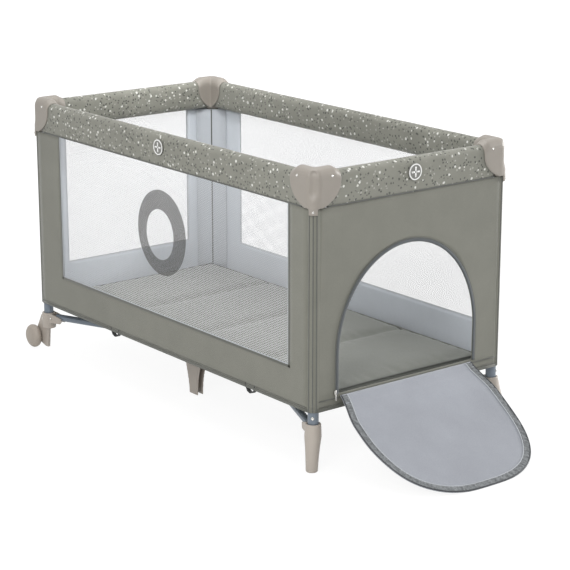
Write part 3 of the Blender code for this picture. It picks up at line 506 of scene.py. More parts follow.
# %% [markdown]
# Tubes and pins are already the right shape in the CAD: drawn tube cut square, so they only get their
# paint. The lock casings and the hub are hidden by cloth until the yard folds, and keep their CAD shape in
# taupe plastic.

# %% Paint the CAD nodes that stay
PAINTED = {"lock_": taupe, "hub": taupe}
for start in ("post_", "base_tube_", "rail_", "middle_arm_", "axle_"):
    PAINTED[start] = steel
for node, cad_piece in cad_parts.items():
    for start, finish in PAINTED.items():
        if node.startswith(start):
            cad_piece.data.materials.clear()
            cad_piece.data.materials.append(finish)
print("painted tubes, locks and hub")

# %% [markdown]
# A moulded part has no sharp edges: the tool is rounded so that the plastic flows and the skin stays safe.
# The CAD caps, feet, brackets and legs have the right shape with sharp edges, so each is copied, merged,
# remeshed to a fine even skin and smoothed. A bevel on every edge could do it too, but the cut edges meet
# at odd angles where it tears.

# %% Moulded parts
VOXEL = 0.0016
CAP_END = 0.046
CAP_END_DROP = 0.0085
GROOVE_DEPTH = 0.0072
GROOVE_HALF = 0.017
LEG_FLARE = 0.70
LEG_RISE = 0.10
LEG_TOP = 0.135


def moulded(node, body, rounds, finish=taupe, form=None):
    """Rounded copy of a CAD part; form may move its points."""
    bm = bmesh.new()
    bm.from_mesh(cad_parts[node].data)
    bmesh.ops.remove_doubles(bm, verts=bm.verts, dist=1e-5)
    rough = bpy.data.meshes.new("rough")
    bm.to_mesh(rough)
    bm.free()
    helper = bpy.data.objects.new("rough", rough)
    scene.collection.objects.link(helper)
    skin = helper.modifiers.new("skin", "REMESH")
    skin.mode = "VOXEL"
    skin.voxel_size = VOXEL
    ease = helper.modifiers.new("ease", "SMOOTH")
    ease.factor = 0.5
    ease.iterations = rounds
    graph = bpy.context.evaluated_depsgraph_get()
    mesh = bpy.data.meshes.new_from_object(helper.evaluated_get(graph))
    bpy.data.objects.remove(helper)
    mesh.name = "moulded_" + node
    if form:
        for vert in mesh.vertices:
            vert.co = form(vert.co)
    mesh.materials.clear()
    piece = dress("moulded_" + node, mesh, [finish], body)
    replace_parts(piece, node)
    return len(mesh.polygons)


def cap_form(corner):
    """Lower the ends of a cap's two wings onto the padding and sink a groove down its corner."""
    sx, sy = CORNERS[corner]
    post = POSTS[corner] + YARD
    outward = OUTWARD[corner]
    tangent = UP.cross(outward)

    def form(place):
        local = place - post
        wing = max(-sx * local.x, -sy * local.y)
        above = local.z - RAIL_AXIS
        ending = eased((wing - CAP_END) / 0.021) * eased((above + 0.012) / 0.024)
        across = min(1.0, abs(local.dot(tangent)) / GROOVE_HALF)
        sunk = math.cos(across * math.pi / 2) ** 2 * eased((above + 0.054) / 0.03)
        skin = eased((local.dot(outward) - 0.012) / 0.008)
        return place - UP * (CAP_END_DROP * ending) - outward * (GROOVE_DEPTH * sunk * skin)

    return form


def leg_form(sy):
    """Flare a middle leg up to the hem that hides its top, less on the side where a rail folds down."""
    def form(place):
        away = place.x - YARD.x
        most = LEG_FLARE * (0.2 if sy * away > 0 else 1.0)
        flare = 1 + most * eased(place.z / LEG_RISE) * eased((LEG_TOP - place.z) / 0.025)
        return Vector((YARD.x + away * flare, place.y, place.z))

    return form


count = 0
for corner in CORNERS:
    count += moulded("cap_" + corner, "corner_" + corner, 8, shaded_cap_taupe, cap_form(corner))
    lower = ("foot_" if corner.startswith("door") else "bracket_") + corner
    count += moulded(lower, "corner_" + corner, 6)
for end, sy in LONG_WAYS:
    count += moulded("middle_leg_" + end, "middle_leg_" + end, 4, form=leg_form(sy))
print("moulded faces", count)

# %% [markdown]
# Screws hold each cap: one in each wing and one at the tip of the tongue. Rivets hold the wheel brackets,
# and a flat stud stops each door-end post in its foot. A screw head is a spun dome with a sunk socket; the
# socket's small faces are near-black, painted shade in the recess.

# %% Screws, rivets and studs
HEAD_PROFILE = ((1, 0), (0.95, 0.3), (0.7, 0.5), (0.45, 0.52), (0.42, 0.2), (0, 0.2))
CAP_FACE = 0.0231
SCREW_ALONG = 0.038
SCREW_UP = 0.008
TIP_DROP = 0.0765
STUD_UP = 0.134
STUD_OUT = 0.0142
RIVETS = ((-0.652, 0.097), (-0.609, 0.102))


def fasteners(name, corner, places, radius):
    bm = bmesh.new()
    for place, direction in places:
        profile = [(radius * out, radius * up) for out, up in HEAD_PROFILE]
        merge_into(bm, spun(profile, 16, facing(direction, place)))
    for face in bm.faces:
        if face.calc_area() < radius * radius * 0.02:
            face.material_index = 1
    publish(name + corner, bm, [bright, socket_shade_finish], "corner_" + corner)


def rivet_places(corner, sy):
    """Outermost points of a bracket at the rivets' places."""
    skin = [v.co - YARD for v in bpy.data.objects["moulded_bracket_" + corner].data.vertices]
    for x, z in RIVETS:
        near = [p for p in skin if math.hypot(p.x - x, p.z - z) < 0.003]
        yield max(near, key=lambda p: sy * p.y), (0, sy, 0)


for corner, (sx, sy) in CORNERS.items():
    top = POSTS[corner] + UP * RAIL_AXIS
    outward = OUTWARD[corner]
    along_x = top + Vector((-sx * SCREW_ALONG, sy * CAP_FACE, SCREW_UP))
    along_y = top + Vector((sx * CAP_FACE, -sy * SCREW_ALONG, SCREW_UP))
    tip = top + outward * CAP_FACE - UP * TIP_DROP
    fasteners("cap_screws_", corner, [(along_x, (0, sy, 0)), (along_y, (sx, 0, 0)), (tip, outward)], 0.0034)
    if sx > 0:
        stud = POSTS[corner] + UP * STUD_UP + outward * STUD_OUT
        fasteners("post_stud_", corner, [(stud, outward)], 0.0045)
    else:
        fasteners("bracket_rivets_", corner, list(rivet_places(corner, sy)), 0.0036)
print("fasteners on", len(CORNERS), "corners")

# %% [markdown]
# The wheels are solid taupe discs with a fat round tread, like a pebble. A profile turned about the axle
# gives the tread, the domed face that covers the axle's end, and the hollow behind that face in which the
# axle head sits.

# %% Wheels
WHEEL_PROFILE = [(0.0046, 0.0), (0.020, 0.0), (0.0285, 0.0012), (0.0328, 0.0048), (0.0348, 0.0105),
                 (0.0346, 0.0150), (0.0325, 0.0196), (0.0285, 0.0232), (0.0240, 0.0250), (0.0225, 0.0246),
                 (0.0205, 0.0256), (0.0120, 0.0272), (0.0, 0.0277)]
WHEEL_HOLLOW = [(0.0, 0.0250), (0.0090, 0.0248), (0.0090, 0.0221), (0.0046, 0.0221), (0.0046, 0.0)]
for end, sy in LONG_WAYS:
    low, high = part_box("wheel_" + end)
    inner = low.y if sy > 0 else high.y
    hub_place = Vector(((low.x + high.x) / 2, inner, (low.z + high.z) / 2)) - YARD
    wheel = spun(WHEEL_PROFILE + WHEEL_HOLLOW, 56, facing((0, sy, 0), hub_place))
    piece = publish("wheel_disc_" + end, wheel, [wheel_taupe], "wheel_" + end)
    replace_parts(piece, "wheel_" + end)
    print("wheel", end, "at", [round(v, 4) for v in hub_place])

# %% [markdown]
# A padded rail cover is foam round the tube with the cloth drawn down outside and sewn to the wall. Its
# section is a round top, a flat outer face and a thin lower edge. The section is swept along the rail, ends
# rounded, and then pushed about by soft noise, since foam under cloth is never quite straight.

# %% Padded rail covers
COVER_SECTION = [(0.0, 0.0190), (0.0059, 0.0181), (0.0112, 0.0154), (0.0154, 0.0112),
                 (0.0181, 0.0059), (0.0190, -0.002), (0.0194, -0.016), (0.0195, -0.032),
                 (0.0191, -0.048), (0.0182, -0.060), (0.0168, -0.0672), (0.0146, -0.0690),
                 (0.0110, -0.0686), (0.0040, -0.0676), (-0.0060, -0.0650), (-0.0135, -0.0595),
                 (-0.0176, -0.0510), (-0.0190, -0.0390), (-0.0193, -0.0220), (-0.0192, -0.0060),
                 (-0.0181, 0.0059), (-0.0154, 0.0112), (-0.0112, 0.0154), (-0.0059, 0.0181)]
COVER_GAP = 0.0252
COVER_STEP = 0.011
PIPING_OUT = 0.0172
PIPING_DROP = 0.0680
PIPING_R = 0.0018
SIDES = {"front": (True, -1), "back": (True, 1), "wheel": (False, -1), "door": (False, 1)}


def rail_place(side, end, along, out, up):
    """Point of a rail: along from the side's middle to an end, out of the yard and up from the axis."""
    long_side, sign = SIDES[side]
    if long_side:
        return Vector((end * along, sign * (POST_Y + out), RAIL_AXIS + up))
    return Vector((sign * (POST_X + out), end * along, RAIL_AXIS + up))


def rail_cover(side, end, length):
    bm = bmesh.new()
    crease = bm.edges.layers.float.new("crease_edge")
    ring = [bm.verts.new((0, out, up)) for out, up in COVER_SECTION]
    loop = [bm.edges.new(pair) for pair in zip(ring, ring[1:] + ring[:1])]
    steps = round(length / COVER_STEP)
    step = (length / steps, 0, 0)
    bmesh.ops.spin(bm, geom=ring + loop, cent=(0, 0, 0), axis=(1, 0, 0), angle=0, dvec=step, steps=steps)
    bmesh.ops.holes_fill(bm, edges=[e for e in bm.edges if e.is_boundary])
    far = [f for f in bm.faces if len(f.verts) > 4 and f.calc_center_median().x > length / 2]
    bmesh.ops.inset_region(bm, faces=far, thickness=0.0025, depth=0.0012)
    for edge in bm.edges:
        middle = all(abs(v.co.x) < 1e-6 for v in edge.verts)
        edge[crease] = 1.0 if middle else 0.0
        edge.smooth = not middle
    for vert in bm.verts:
        along, out, up = vert.co
        spot = (end * along, out, up)
        swell = 0.0007 * ripple(spot, 17.0, len(side)) + 0.0005 * ripple(spot, 55.0, 2)
        hang_share = max(0.0, -up - 0.04) / 0.03
        sway = 0.0009 * hang_share * ripple((end * along, 0, 0), 26.0, 3)
        tuck = 1 - 0.02 * max(0.0, 1 - (length - along) / 0.05)
        vert.co = rail_place(side, end, along, out * (1 + swell / 0.02) * tuck + sway, up + swell * 0.6)
    bmesh.ops.recalc_face_normals(bm, faces=bm.faces)
    return bm


def cover_squash(piece):
    """Give a cover or its piping a mesh of its own."""
    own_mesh(piece)


for side, (long_side, sign) in SIDES.items():
    length = (POST_X if long_side else POST_Y) - COVER_GAP
    for end_name, end in (("wheel", -1), ("door", 1)) if long_side else LONG_WAYS:
        half = side + "_" + end_name
        body = "rail_" + half
        padding = rail_cover(side, end, length)
        cover = publish("padding_" + half, padding, [speckled], body)
        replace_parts(cover, "cover_" + half)
        cover_squash(cover)
        rounder(cover)
        reach = length - 0.001
        path = [rail_place(side, end, reach * i / 40, PIPING_OUT, -PIPING_DROP) for i in range(41)]
        across = rail_place(side, end, 0, 1, 0) - rail_place(side, end, 0, 0, 0)
        piping = swept_tube(path, PIPING_R, 8, across)
        cord = publish("cover_piping_" + half, piping, [seam_cord], body)
        cover_squash(cord)
print("rail covers done")

# %% [markdown]
# A round mark on the middle of each side shows where to press the lock. Here it is a domed disc on the
# button with a raised ring and a plain cross, all turned or cut from simple bars. It carries no words.

# %% Lock buttons
BUTTON_PROFILE = [(0, -0.0135), (0.006, -0.0135), (0.006, -0.0016), (0.0220, -0.0016), (0.0220, -0.0004),
                  (0.0212, 0.0), (0.0196, 0.0), (0.0, 0.0005)]
RING_PROFILE = [(0.0210, -0.0002), (0.0210, 0.0006), (0.0203, 0.0009), (0.0186, 0.0009), (0.0179, 0.0006),
                (0.0179, -0.0002)]
BAR_SIZE = (0.0042, 0.0110, 0.0012)
BAR_MIDDLE = (0, 0.0078, 0.0006)


def button_disc(side):
    long_side, sign = SIDES[side]
    out = Vector((0, sign, 0)) if long_side else Vector((sign, 0, 0))
    low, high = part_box("button_" + side)
    middle = (low + high) / 2 - YARD
    face = middle + out * (high - low).dot(Vector([abs(v) for v in out])) / 2
    place = facing(out, face)
    marks = spun(RING_PROFILE, 40, place)
    for turn in range(4):
        bar = block(BAR_SIZE, BAR_MIDDLE)
        bar.transform(place @ Matrix.Rotation(turn * math.pi / 2, 4, "Z"))
        merge_into(marks, bar)
    for item in marks.faces:
        item.material_index = 1
    return merge_into(spun(BUTTON_PROFILE, 40, place), marks)


for side in SIDES:
    body = "button_" + side
    finishes = [mark_ground, mark_white]
    piece = publish("lock_button_" + side, button_disc(side), finishes, body)
    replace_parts(piece, "button_" + side)
print("lock buttons", len(SIDES))

# %% [markdown]
# Each wall is one sheet of cloth, sewn to a sleeve on the post that carries it. A side frame makes all four
# walls alike: u runs along the side from the carrying post, v goes into the yard and w goes up.

# %% Side frames
WALL_SIDES = {"front": (0, "wheel_front"), "door": (1, "door_front"), "back": (2, "door_back"),
              "wheel": (3, "wheel_back")}
OUT = Vector((0, -1, 0))
OUTER = -SLEEVE_R
WALL_SHY = 0.001
WALL_CLOTH = 0.0016


def side_matrix(side):
    quarter, corner = WALL_SIDES[side]
    return Matrix.Translation(POSTS[corner]) @ Matrix.Rotation(quarter * math.pi / 2, 4, "Z")


def side_span(side):
    return 2 * (POST_X if side in ("front", "back") else POST_Y)


def hang(name, bm, side, finishes):
    """Publish a piece drawn in a side frame; it rides on the carrying post's corner and has its own mesh."""
    bm.transform(side_matrix(side))
    corner = WALL_SIDES[side][1]
    piece = publish(name, bm, finishes, "corner_" + corner)
    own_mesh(piece)
    return piece


def hang_cord(name, line, radius, sides, side):
    hang(name, swept_tube(line, radius, sides, OUT), side, [seam_cord])


print("side frames", list(WALL_SIDES))

# %% [markdown]
# The sleeve is a tube of the wall's cloth pulled tight over the post. It is drawn as an open cone, cut into
# rings and made slightly uneven. Cords cover the seams where two walls meet at the outer corner. Inside,
# the pale lining passes round the post from wall to wall: its plan is two curves that leave the walls flat
# and meet at one seam.

# %% Post sleeves
SEAM_TURNS = (-34, 0, 30)
LINING_REACH = 0.052
LINING_BACK = SLEEVE_R - 0.0042
LINING_BEND = 0.012


def sleeve(corner):
    sx, sy = CORNERS[corner]
    radius = SLEEVE_R - 0.0004
    bm = bmesh.new()
    bmesh.ops.create_cone(bm, cap_ends=False, segments=40, radius1=radius, radius2=radius, depth=WALL_HEIGHT)
    uprights = [e for e in bm.edges if abs(e.verts[0].co.z - e.verts[1].co.z) > WALL_HEIGHT / 2]
    bmesh.ops.subdivide_edges(bm, edges=uprights, cuts=24, use_grid_fill=True)
    for vert in bm.verts:
        x, y, z = vert.co
        grow = 1 + 0.012 * ripple(vert.co, 30.0, sx + 3 * sy)
        vert.co = Vector((x * grow + sx * POST_X, y * grow + sy * POST_Y, z + HEM + WALL_HEIGHT / 2))
    return bm


def lining_curve(share, corner):
    """Plan of the lining from one wall (-1) round the inside of a post (0) to the other wall (1)."""
    sx, sy = CORNERS[corner]
    inner = (SLEEVE_R + 0.0012) / math.sqrt(2)
    back = 1 - abs(share)
    ends = ((LINING_REACH, -LINING_BACK), (LINING_REACH * 0.5, -LINING_BACK),
            (inner + LINING_BEND, inner - LINING_BEND), (inner, inner))
    weights = (abs(share) ** 3, 3 * share * share * back, 3 * abs(share) * back * back, back ** 3)
    along, inside = (sum(w * end[i] for w, end in zip(weights, ends)) for i in (0, 1))
    if share > 0:
        along, inside = inside, along
    return Vector((sx * (POST_X - along), sy * (POST_Y - inside), 0))


def upright_cord(name, corner, foot, direction, radius, shy):
    """Cord up a post that ends a little short of the cloth."""
    path = [foot + UP * (HEM + shy + (WALL_HEIGHT - 2 * shy) * i / 12) for i in range(13)]
    cord = swept_tube(path, radius, 8, direction)
    publish(name, cord, [seam_cord], "corner_" + corner)


shares = [i / 14 - 1 for i in range(29)]
heights = graded([HEM + 0.002, WALL_TOP - 0.002], 0.03)
for corner, (sx, sy) in CORNERS.items():
    outward = OUTWARD[corner]
    body = "corner_" + corner
    bm = laid_grid(shares, heights, lambda share, z: lining_curve(share, corner) + UP * z)
    piece = publish("sleeve_lining_" + corner, bm, [shaded_post_lining], body)
    thicken(piece, 0.0010)
    upright_cord("lining_seam_" + corner, corner, lining_curve(0, corner), outward, 0.0024, 0.003)
    piece = publish("sleeve_" + corner, sleeve(corner), [olive_cloth], body)
    thicken(piece, 0.0014)
    for index, turn in enumerate(SEAM_TURNS if sy < 0 else SEAM_TURNS[::2]):
        direction = Matrix.Rotation(math.radians(turn), 3, "Z") @ outward
        foot = POSTS[corner] + direction * SLEEVE_R
        upright_cord("sleeve_seam_%s_%d" % (corner, index), corner, foot, direction, 0.0013, 0.001)
print("sleeves", len(CORNERS))

# %% [markdown]
# A window wall is a grid whose columns and rows fall on the window's edges; the faces inside the window are
# deleted. A narrow binding covers the cut edge and holds the net, which is a second sheet behind it.

# %% Window walls
NET_LAP = 0.004
BINDING_LAP = 0.0045


def window_of(side):
    """Window of a side in its own frame: first and last u."""
    back = side_matrix(side).inverted()
    ends = [(back @ (corner - YARD)).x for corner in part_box("mesh_" + side)]
    return min(ends), max(ends)


def window_wall(side, left, right, end):
    columns = graded([0.0, left, right, end], 0.018)
    rows = graded([HEM, BAND_TOP, WALL_TOP], 0.013)

    def lay(u, w):
        band = max(0.0, 1 - abs(w - (HEM + BAND_TOP) / 2) / ((BAND_TOP - HEM) / 2))
        wave = 0.0016 * band * ripple((u, 0, w), 7.0, len(side)) + 0.0005 * ripple((u, 0, w), 21.0, 4)
        return u, OUTER + 0.0004 + max(-0.0010, wave), w

    def inside(place):
        return left < place.x < right and place.z > BAND_TOP

    return cut_out(laid_grid(columns, rows, lay), inside)


def on_outside(edge):
    return all(vert.co.y < 0 for vert in edge.verts)


def binding(left, right, low, width, proud):
    """Flat strip round a window's sides and foot, proud of the wall."""
    path = [(left, WALL_TOP), (left, low), (right, low), (right, WALL_TOP)]
    bm = bmesh.new()
    for (u0, w0), (u1, w1) in zip(path, path[1:]):
        size = (abs(u1 - u0) + width, proud, abs(w1 - w0) + width)
        middle = ((u0 + u1) / 2, OUTER + 0.0002 - proud / 2 + 0.0006, (w0 + w1) / 2)
        merge_into(bm, block(size, middle, proud * 0.45, 2, on_outside))
    return bm


def net_lay(u, w):
    return u, OUTER + 0.0026 + 0.0012 * ripple((u, 0, w), 9.0, 6), w


for side in ("front", "back", "wheel"):
    left, right = window_of(side)
    end = side_span(side) - WALL_SHY
    wall = hang("cloth_wall_" + side, window_wall(side, left, right, end), side, [olive_cloth, lining_cloth])
    thicken(wall, WALL_CLOTH, inside=1)
    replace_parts(wall, "wall_" + side)
    columns = graded([left - NET_LAP, right + NET_LAP], 0.03)
    rows = graded([BAND_TOP - NET_LAP, WALL_TOP], 0.03)
    net_finish = white_net if side == "front" else shaded_far_net
    net = hang("net_" + side, laid_grid(columns, rows, net_lay), side, [net_finish])
    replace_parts(net, "mesh_" + side)
    strip = binding(left - BINDING_LAP, right + BINDING_LAP, BAND_TOP - BINDING_LAP, 0.007, 0.0012)
    hang("window_binding_" + side, strip, side, [hem_tape])
    edge = binding(left, right, BAND_TOP, 0.0022, 0.0016)
    hang("window_edge_" + side, edge, side, [edge_cord])

# %% [markdown]
# The door end is a whole panel with an arched opening. Rays from the arch's middle meet the arch and the
# panel's edge, so two circles bridged together and cut into rings can be laid between the two outlines. The
# grid then follows the arch, and the zip tape and its teeth can be laid along the same rays.

# %% Door wall
flap_low, flap_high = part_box("door_flap")
FLAP_MIDDLE = (flap_low.y + flap_high.y) / 2 - YARD.y
ARCH_HALF = 0.230
SILL = 0.187
SPRING = 0.285
CROWN = 0.258
DOOR_MIDDLE = POST_Y + FLAP_MIDDLE
DOOR_END = side_span("door") - WALL_SHY
EVEN_RAYS = 120
TINY = 1e-9


def arch_reach(angle, grow):
    """Distance from the middle of the arch's springing line to the arch, grown all round."""
    c, s = math.cos(angle), math.sin(angle)
    if s >= 0:
        return 1 / math.hypot(c / (ARCH_HALF + grow), s / (CROWN + grow))
    return min((ARCH_HALF + grow) / max(abs(c), TINY), (SPRING - SILL + grow) / -s)


def panel_reach(angle):
    """Distance from the same middle to the panel's edge."""
    c, s = math.cos(angle), math.sin(angle)
    side = (DOOR_END - DOOR_MIDDLE if c > 0 else DOOR_MIDDLE) / max(abs(c), TINY)
    level = (WALL_TOP - SPRING if s > 0 else SPRING - HEM) / max(abs(s), TINY)
    return min(side, level)


def ray_point(angle, reach, depth):
    return DOOR_MIDDLE + reach * math.cos(angle), depth, SPRING + reach * math.sin(angle)


def door_wall():
    corners = [(DOOR_END, WALL_TOP), (0, WALL_TOP), (0, HEM), (DOOR_END, HEM)]
    corners += [(DOOR_MIDDLE + ARCH_HALF, SILL), (DOOR_MIDDLE - ARCH_HALF, SILL)]
    angles = [math.atan2(w - SPRING, u - DOOR_MIDDLE) % FULL_TURN for u, w in corners]
    angles = sorted(angles + [FULL_TURN * i / EVEN_RAYS for i in range(EVEN_RAYS)])
    rays = len(angles)
    bm = bridged_ring(rays)
    spokes = [e for e in bm.edges if abs(e.verts[0].co.length - e.verts[1].co.length) > 0.5]
    bmesh.ops.subdivide_edges(bm, edges=spokes, cuts=9, use_grid_fill=True)
    for vert in bm.verts:
        turn = (math.atan2(-vert.co.x, vert.co.y) % FULL_TURN) / FULL_TURN
        angle = angles[round(turn * rays) % rays]
        near = arch_reach(angle, 0)
        reach = near + (panel_reach(angle) - near) * clamped(vert.co.length - 1)
        u, depth, w = ray_point(angle, reach, OUTER + 0.0010)
        vert.co = Vector((u, depth + 0.0008 * ripple((u, 0, w), 8.0, 2), w))
    return turned(bm, OUT)


door = hang("cloth_wall_door", door_wall(), "door", [olive_cloth, lining_cloth])
thicken(door, WALL_CLOTH, inside=1)
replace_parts(door, "wall_door")

# %% [markdown]
# The zip round the arch is a woven tape with a coil of teeth at its inner edge and a thin piping outside
# it. The tape is a band laid along the rays; the teeth are small blocks set a few millimetres apart along
# the arch.

# %% Zip and piping on the door wall
CORNER_ANGLE = math.atan2(SILL - SPRING, ARCH_HALF)
ARCH_ENDS = [CORNER_ANGLE, math.pi - CORNER_ANGLE]
TAPE_ROWS = [0.0, 0.0025, 0.005, 0.0075]
TOOTH = (0.0016, 0.0045, 0.0016)
zip_tape = woven("dark_zip_tape", srgb(84, 88, 90), thread=0.0018)
zip_teeth = solid_finish("dark_zip_coil", srgb(46, 49, 52), 0.45, 700.0, 0.0001, 0.05)


def arch_point(angle, grow, proud):
    """Point beside the arch, proud of the wall's outer face."""
    return ray_point(angle, arch_reach(angle, grow), OUTER - proud)


def toothed_row(points):
    """Small blocks evenly along a line of points."""
    bm = bmesh.new()
    travelled = 0.0
    for start, stop in zip(points, points[1:]):
        step = Vector(stop) - Vector(start)
        forward = step.normalized()
        turn = Matrix((forward, OUT.cross(forward), OUT)).transposed().to_4x4()
        while travelled < step.length:
            tooth = block(TOOTH)
            tooth.transform(Matrix.Translation(Vector(start) + forward * travelled) @ turn)
            merge_into(bm, tooth)
            travelled += 2 * TOOTH[0]
        travelled -= step.length
    return bm


rays = graded(ARCH_ENDS, 0.03)
tape = laid_grid(rays, TAPE_ROWS, lambda angle, grow: arch_point(angle, grow, 0.0008))
thicken(hang("door_zip_tape", tape, "door", [zip_tape]), 0.0012)
arch_line = [arch_point(angle, 0.0015, 0.0010) for angle in graded(ARCH_ENDS, 0.01)]
hang("door_zip_teeth", toothed_row(arch_line), "door", [zip_teeth])
pipe_line = [arch_point(angle, 0.0092, 0.0006) for angle in graded(ARCH_ENDS, 0.02)]
hang_cord("door_piping", pipe_line, 0.0014, 8, "door")
sill_line = [(u, OUTER - 0.0004, SILL - 0.010) for u in graded([0.004, side_span("door") - 0.004], 0.02)]
hang_cord("door_sill_seam", sill_line, 0.0012, 8, "door")
print("zip laid along", len(rays), "rays")

# %% [markdown]
# Every wall ends in a hem: the cloth is turned up over a tape so that it pulls straight between the posts.

# %% Hems
HEM_ROWS = [HEM - 0.0006, HEM + 0.003, HEM + 0.0075]
STITCH_UP = 0.011
for side in WALL_SIDES:
    end = side_span(side) - WALL_SHY
    strip = laid_grid(graded([0.0, end], 0.04), HEM_ROWS, lambda u, w: (u, OUTER - 0.0006, w))
    thicken(hang("hem_" + side, strip, side, [hem_tape]), 0.0012)
    stitches = [(u, OUTER - 0.0003, HEM + STITCH_UP) for u in graded([0.004, end - 0.004], 0.05)]
    hang_cord("hem_stitch_" + side, stitches, 0.0006, 6, side)
print("hems", len(WALL_SIDES))

# %% [markdown]
# A grey ring is printed on the middle of the front net: the ink fills most of the holes, so it is drawn as
# a second net with thick grey threads just in front of the first. Two circles are bridged and drawn out to
# the ring's outlines; the hole sits a little low and to one side.

# %% Ring on the front net
RING_W = 0.487
RING_OUTER = (0.113, 0.118)
RING_HOLE = (0.064, 0.070)
RING_HOLE_SHIFT = (-0.008, -0.006)
ring_print = bridged_ring(96)
for vert in ring_print.verts:
    direction = vert.co.normalized()
    size, shift = (RING_HOLE, RING_HOLE_SHIFT) if vert.co.length < 1.5 else (RING_OUTER, (0, 0))
    u = POST_X + shift[0] + direction.x * size[0]
    w = RING_W + shift[1] + direction.y * size[1]
    vert.co = Vector((u, OUTER + 0.0012, w))
bmesh.ops.recalc_face_normals(ring_print, faces=ring_print.faces)
hang("net_ring_print", ring_print, "front", [printed_net])
print("ring on the net", RING_OUTER, RING_HOLE)

# %% [markdown]
# The door flap is cut to the arch and hangs from the sill to the floor, pale lining up. Its sheet is a
# square grid whose four sides are laid on the hinge line, the two sides and the crown of the arch; points
# between them are blended from all four sides, which keeps the faces even. A shallow sag and soft waves
# near the edge make it lie as cloth does, and it slumps a little towards the front of the yard.

# %% Door flap
HINGE = Vector((flap_low.x + 0.0012 - YARD.x, FLAP_MIDDLE, SILL - 0.006))
FLAP_LENGTH = 0.393
FLAP_DROP = HINGE.z - 0.0005
FLAP_RUN = math.sqrt(FLAP_LENGTH ** 2 - FLAP_DROP ** 2)
SLOPE = Vector((FLAP_RUN, 0, -FLAP_DROP)).normalized()
BELOW = Vector((-FLAP_DROP, 0, -FLAP_RUN)).normalized()
FLAP_SAG = 0.012
FLAP_SLUMP = 0.028
FLAP_START = ARCH_HALF - 0.006
FLAP_HALF = 0.243
FLAP_STRAIGHT = 0.104
FLAP_STEPS = [i / 40 for i in range(41)]
BLUNT = 2.75
STRAIGHT_SHARE = 0.30
CROWN_START = math.radians(48)
CROWN_SHARE = STRAIGHT_SHARE + (1 - STRAIGHT_SHARE) * CROWN_START / (math.pi / 2)


def flap_edge(share, side):
    """Half outline: share 0 at the hinge, 1 at the crown's middle, as (across, length)."""
    if share <= STRAIGHT_SHARE:
        step = share / STRAIGHT_SHARE
        return side * (FLAP_START + (FLAP_HALF - FLAP_START) * eased(step)), FLAP_STRAIGHT * step
    angle = math.pi / 2 * min(1.0, (share - STRAIGHT_SHARE) / (1 - STRAIGHT_SHARE))
    across = FLAP_HALF * max(0.0, math.cos(angle)) ** (2 / BLUNT)
    return side * across, FLAP_STRAIGHT + (FLAP_LENGTH - FLAP_STRAIGHT) * math.sin(angle) ** (2 / BLUNT)


def flap_row(share, s):
    """Point of the straight line across the flap between the two halves of its outline."""
    return Vector(flap_edge(share, -1)).lerp(Vector(flap_edge(share, 1)), s)


def flap_place(s, t):
    """Point of the flat flap from s across and t along, each from 0 to 1, blended from its four sides."""
    start = flap_row(0, s)
    reach = CROWN_SHARE + (1 - CROWN_SHARE) * (2 * s if s <= 0.5 else 2 - 2 * s)
    crown = Vector(flap_edge(reach, -1 if s <= 0.5 else 1))
    square = start.lerp(flap_row(CROWN_SHARE, s), t)
    return flap_row(t * CROWN_SHARE, s) + start.lerp(crown, t) - square


def on_flap(across, length, lift):
    """Point of the hanging flap; lift is above the cloth's middle."""
    share = clamped(length / FLAP_LENGTH)
    edge = abs(across) / FLAP_HALF
    wave = 0.0026 * ripple((across, length, 0), 9.0, 8) * (0.3 + edge) * math.sin(math.pi * share)
    crease = 0.0011 * math.exp(-((length - 0.026) / 0.004) ** 2)
    sag = FLAP_SAG * math.sin(math.pi * share) + wave + crease
    point = HINGE + Vector((0, across - FLAP_SLUMP * share, 0)) + SLOPE * length + BELOW * (sag - lift)
    point.z = max(point.z, 0.0016 + max(0.0, lift))
    return point


def drop(name, bm, finishes):
    """Publish a piece of the flap; it rides on the flap and has its own mesh."""
    piece = publish(name, bm, finishes, "door_flap")
    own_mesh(piece)
    return piece


bm = laid_grid(FLAP_STEPS, FLAP_STEPS, lambda s, t: on_flap(*flap_place(s, t), 0.0012))
flap = drop("flap_cloth", turned(bm, UP), [shaded_flap_lining, olive_cloth])
thicken(flap, 0.0022, inside=1)
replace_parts(flap, "door_flap")
outline = [flap_edge(i / 200, 1) for i in range(201)]
flap_area = sum((a[0] + b[0]) * (b[1] - a[1]) for a, b in zip(outline, outline[1:]))
print("flap", round(FLAP_LENGTH, 3), "long, area", round(flap_area, 3))

# %% [markdown]
# The other half of the zip runs round the flap's edge: a grey tape that puckers where it was sewn round the
# curve, the coil of teeth at its rim, and a pale cord inside it. The tape's strong fine mottle is painted
# highlight and painted shade of its crinkles.

# %% Zip on the flap
RIM_ENDS = [0.004, 0.996]
ZIP_LIFT = 0.0022
ZIP_ACROSS = (0.45, 0, 0.9)
CORD_INSET = 0.0205
INSETS = [0.0004, 0.004, 0.008, 0.012, 0.016, CORD_INSET]
# Strong fine mottle on the tape: painted highlight and shade of its crinkles.
crinkle_shaded_tape = woven("painted_crinkle_shade_tape", srgb(108, 111, 113), thread=0.0018, mottle=0.45, clouds=130.0)


def flap_rim(share, inset):
    """Point on the flap's rim, moved inwards; share runs from one hinge corner to the other."""
    side = -1 if share <= 0.5 else 1
    across, length = flap_edge(2 * share if share <= 0.5 else 2 - 2 * share, side)
    inward = Vector((0, FLAP_STRAIGHT + 0.03)) - Vector((across, length))
    if length < FLAP_STRAIGHT:
        inward = Vector((-across, 0))
    return Vector((across, length)) + inward.normalized() * inset


def tape_lay(share, inset):
    bulge = math.sin(math.pi * min(1.0, inset / 0.021))
    pucker = 0.0040 * ripple((share * 170, inset * 90, 0), 1.0, 5) * bulge
    return on_flap(*flap_rim(share, inset), ZIP_LIFT + min(0.0018, max(-0.0008, pucker)))


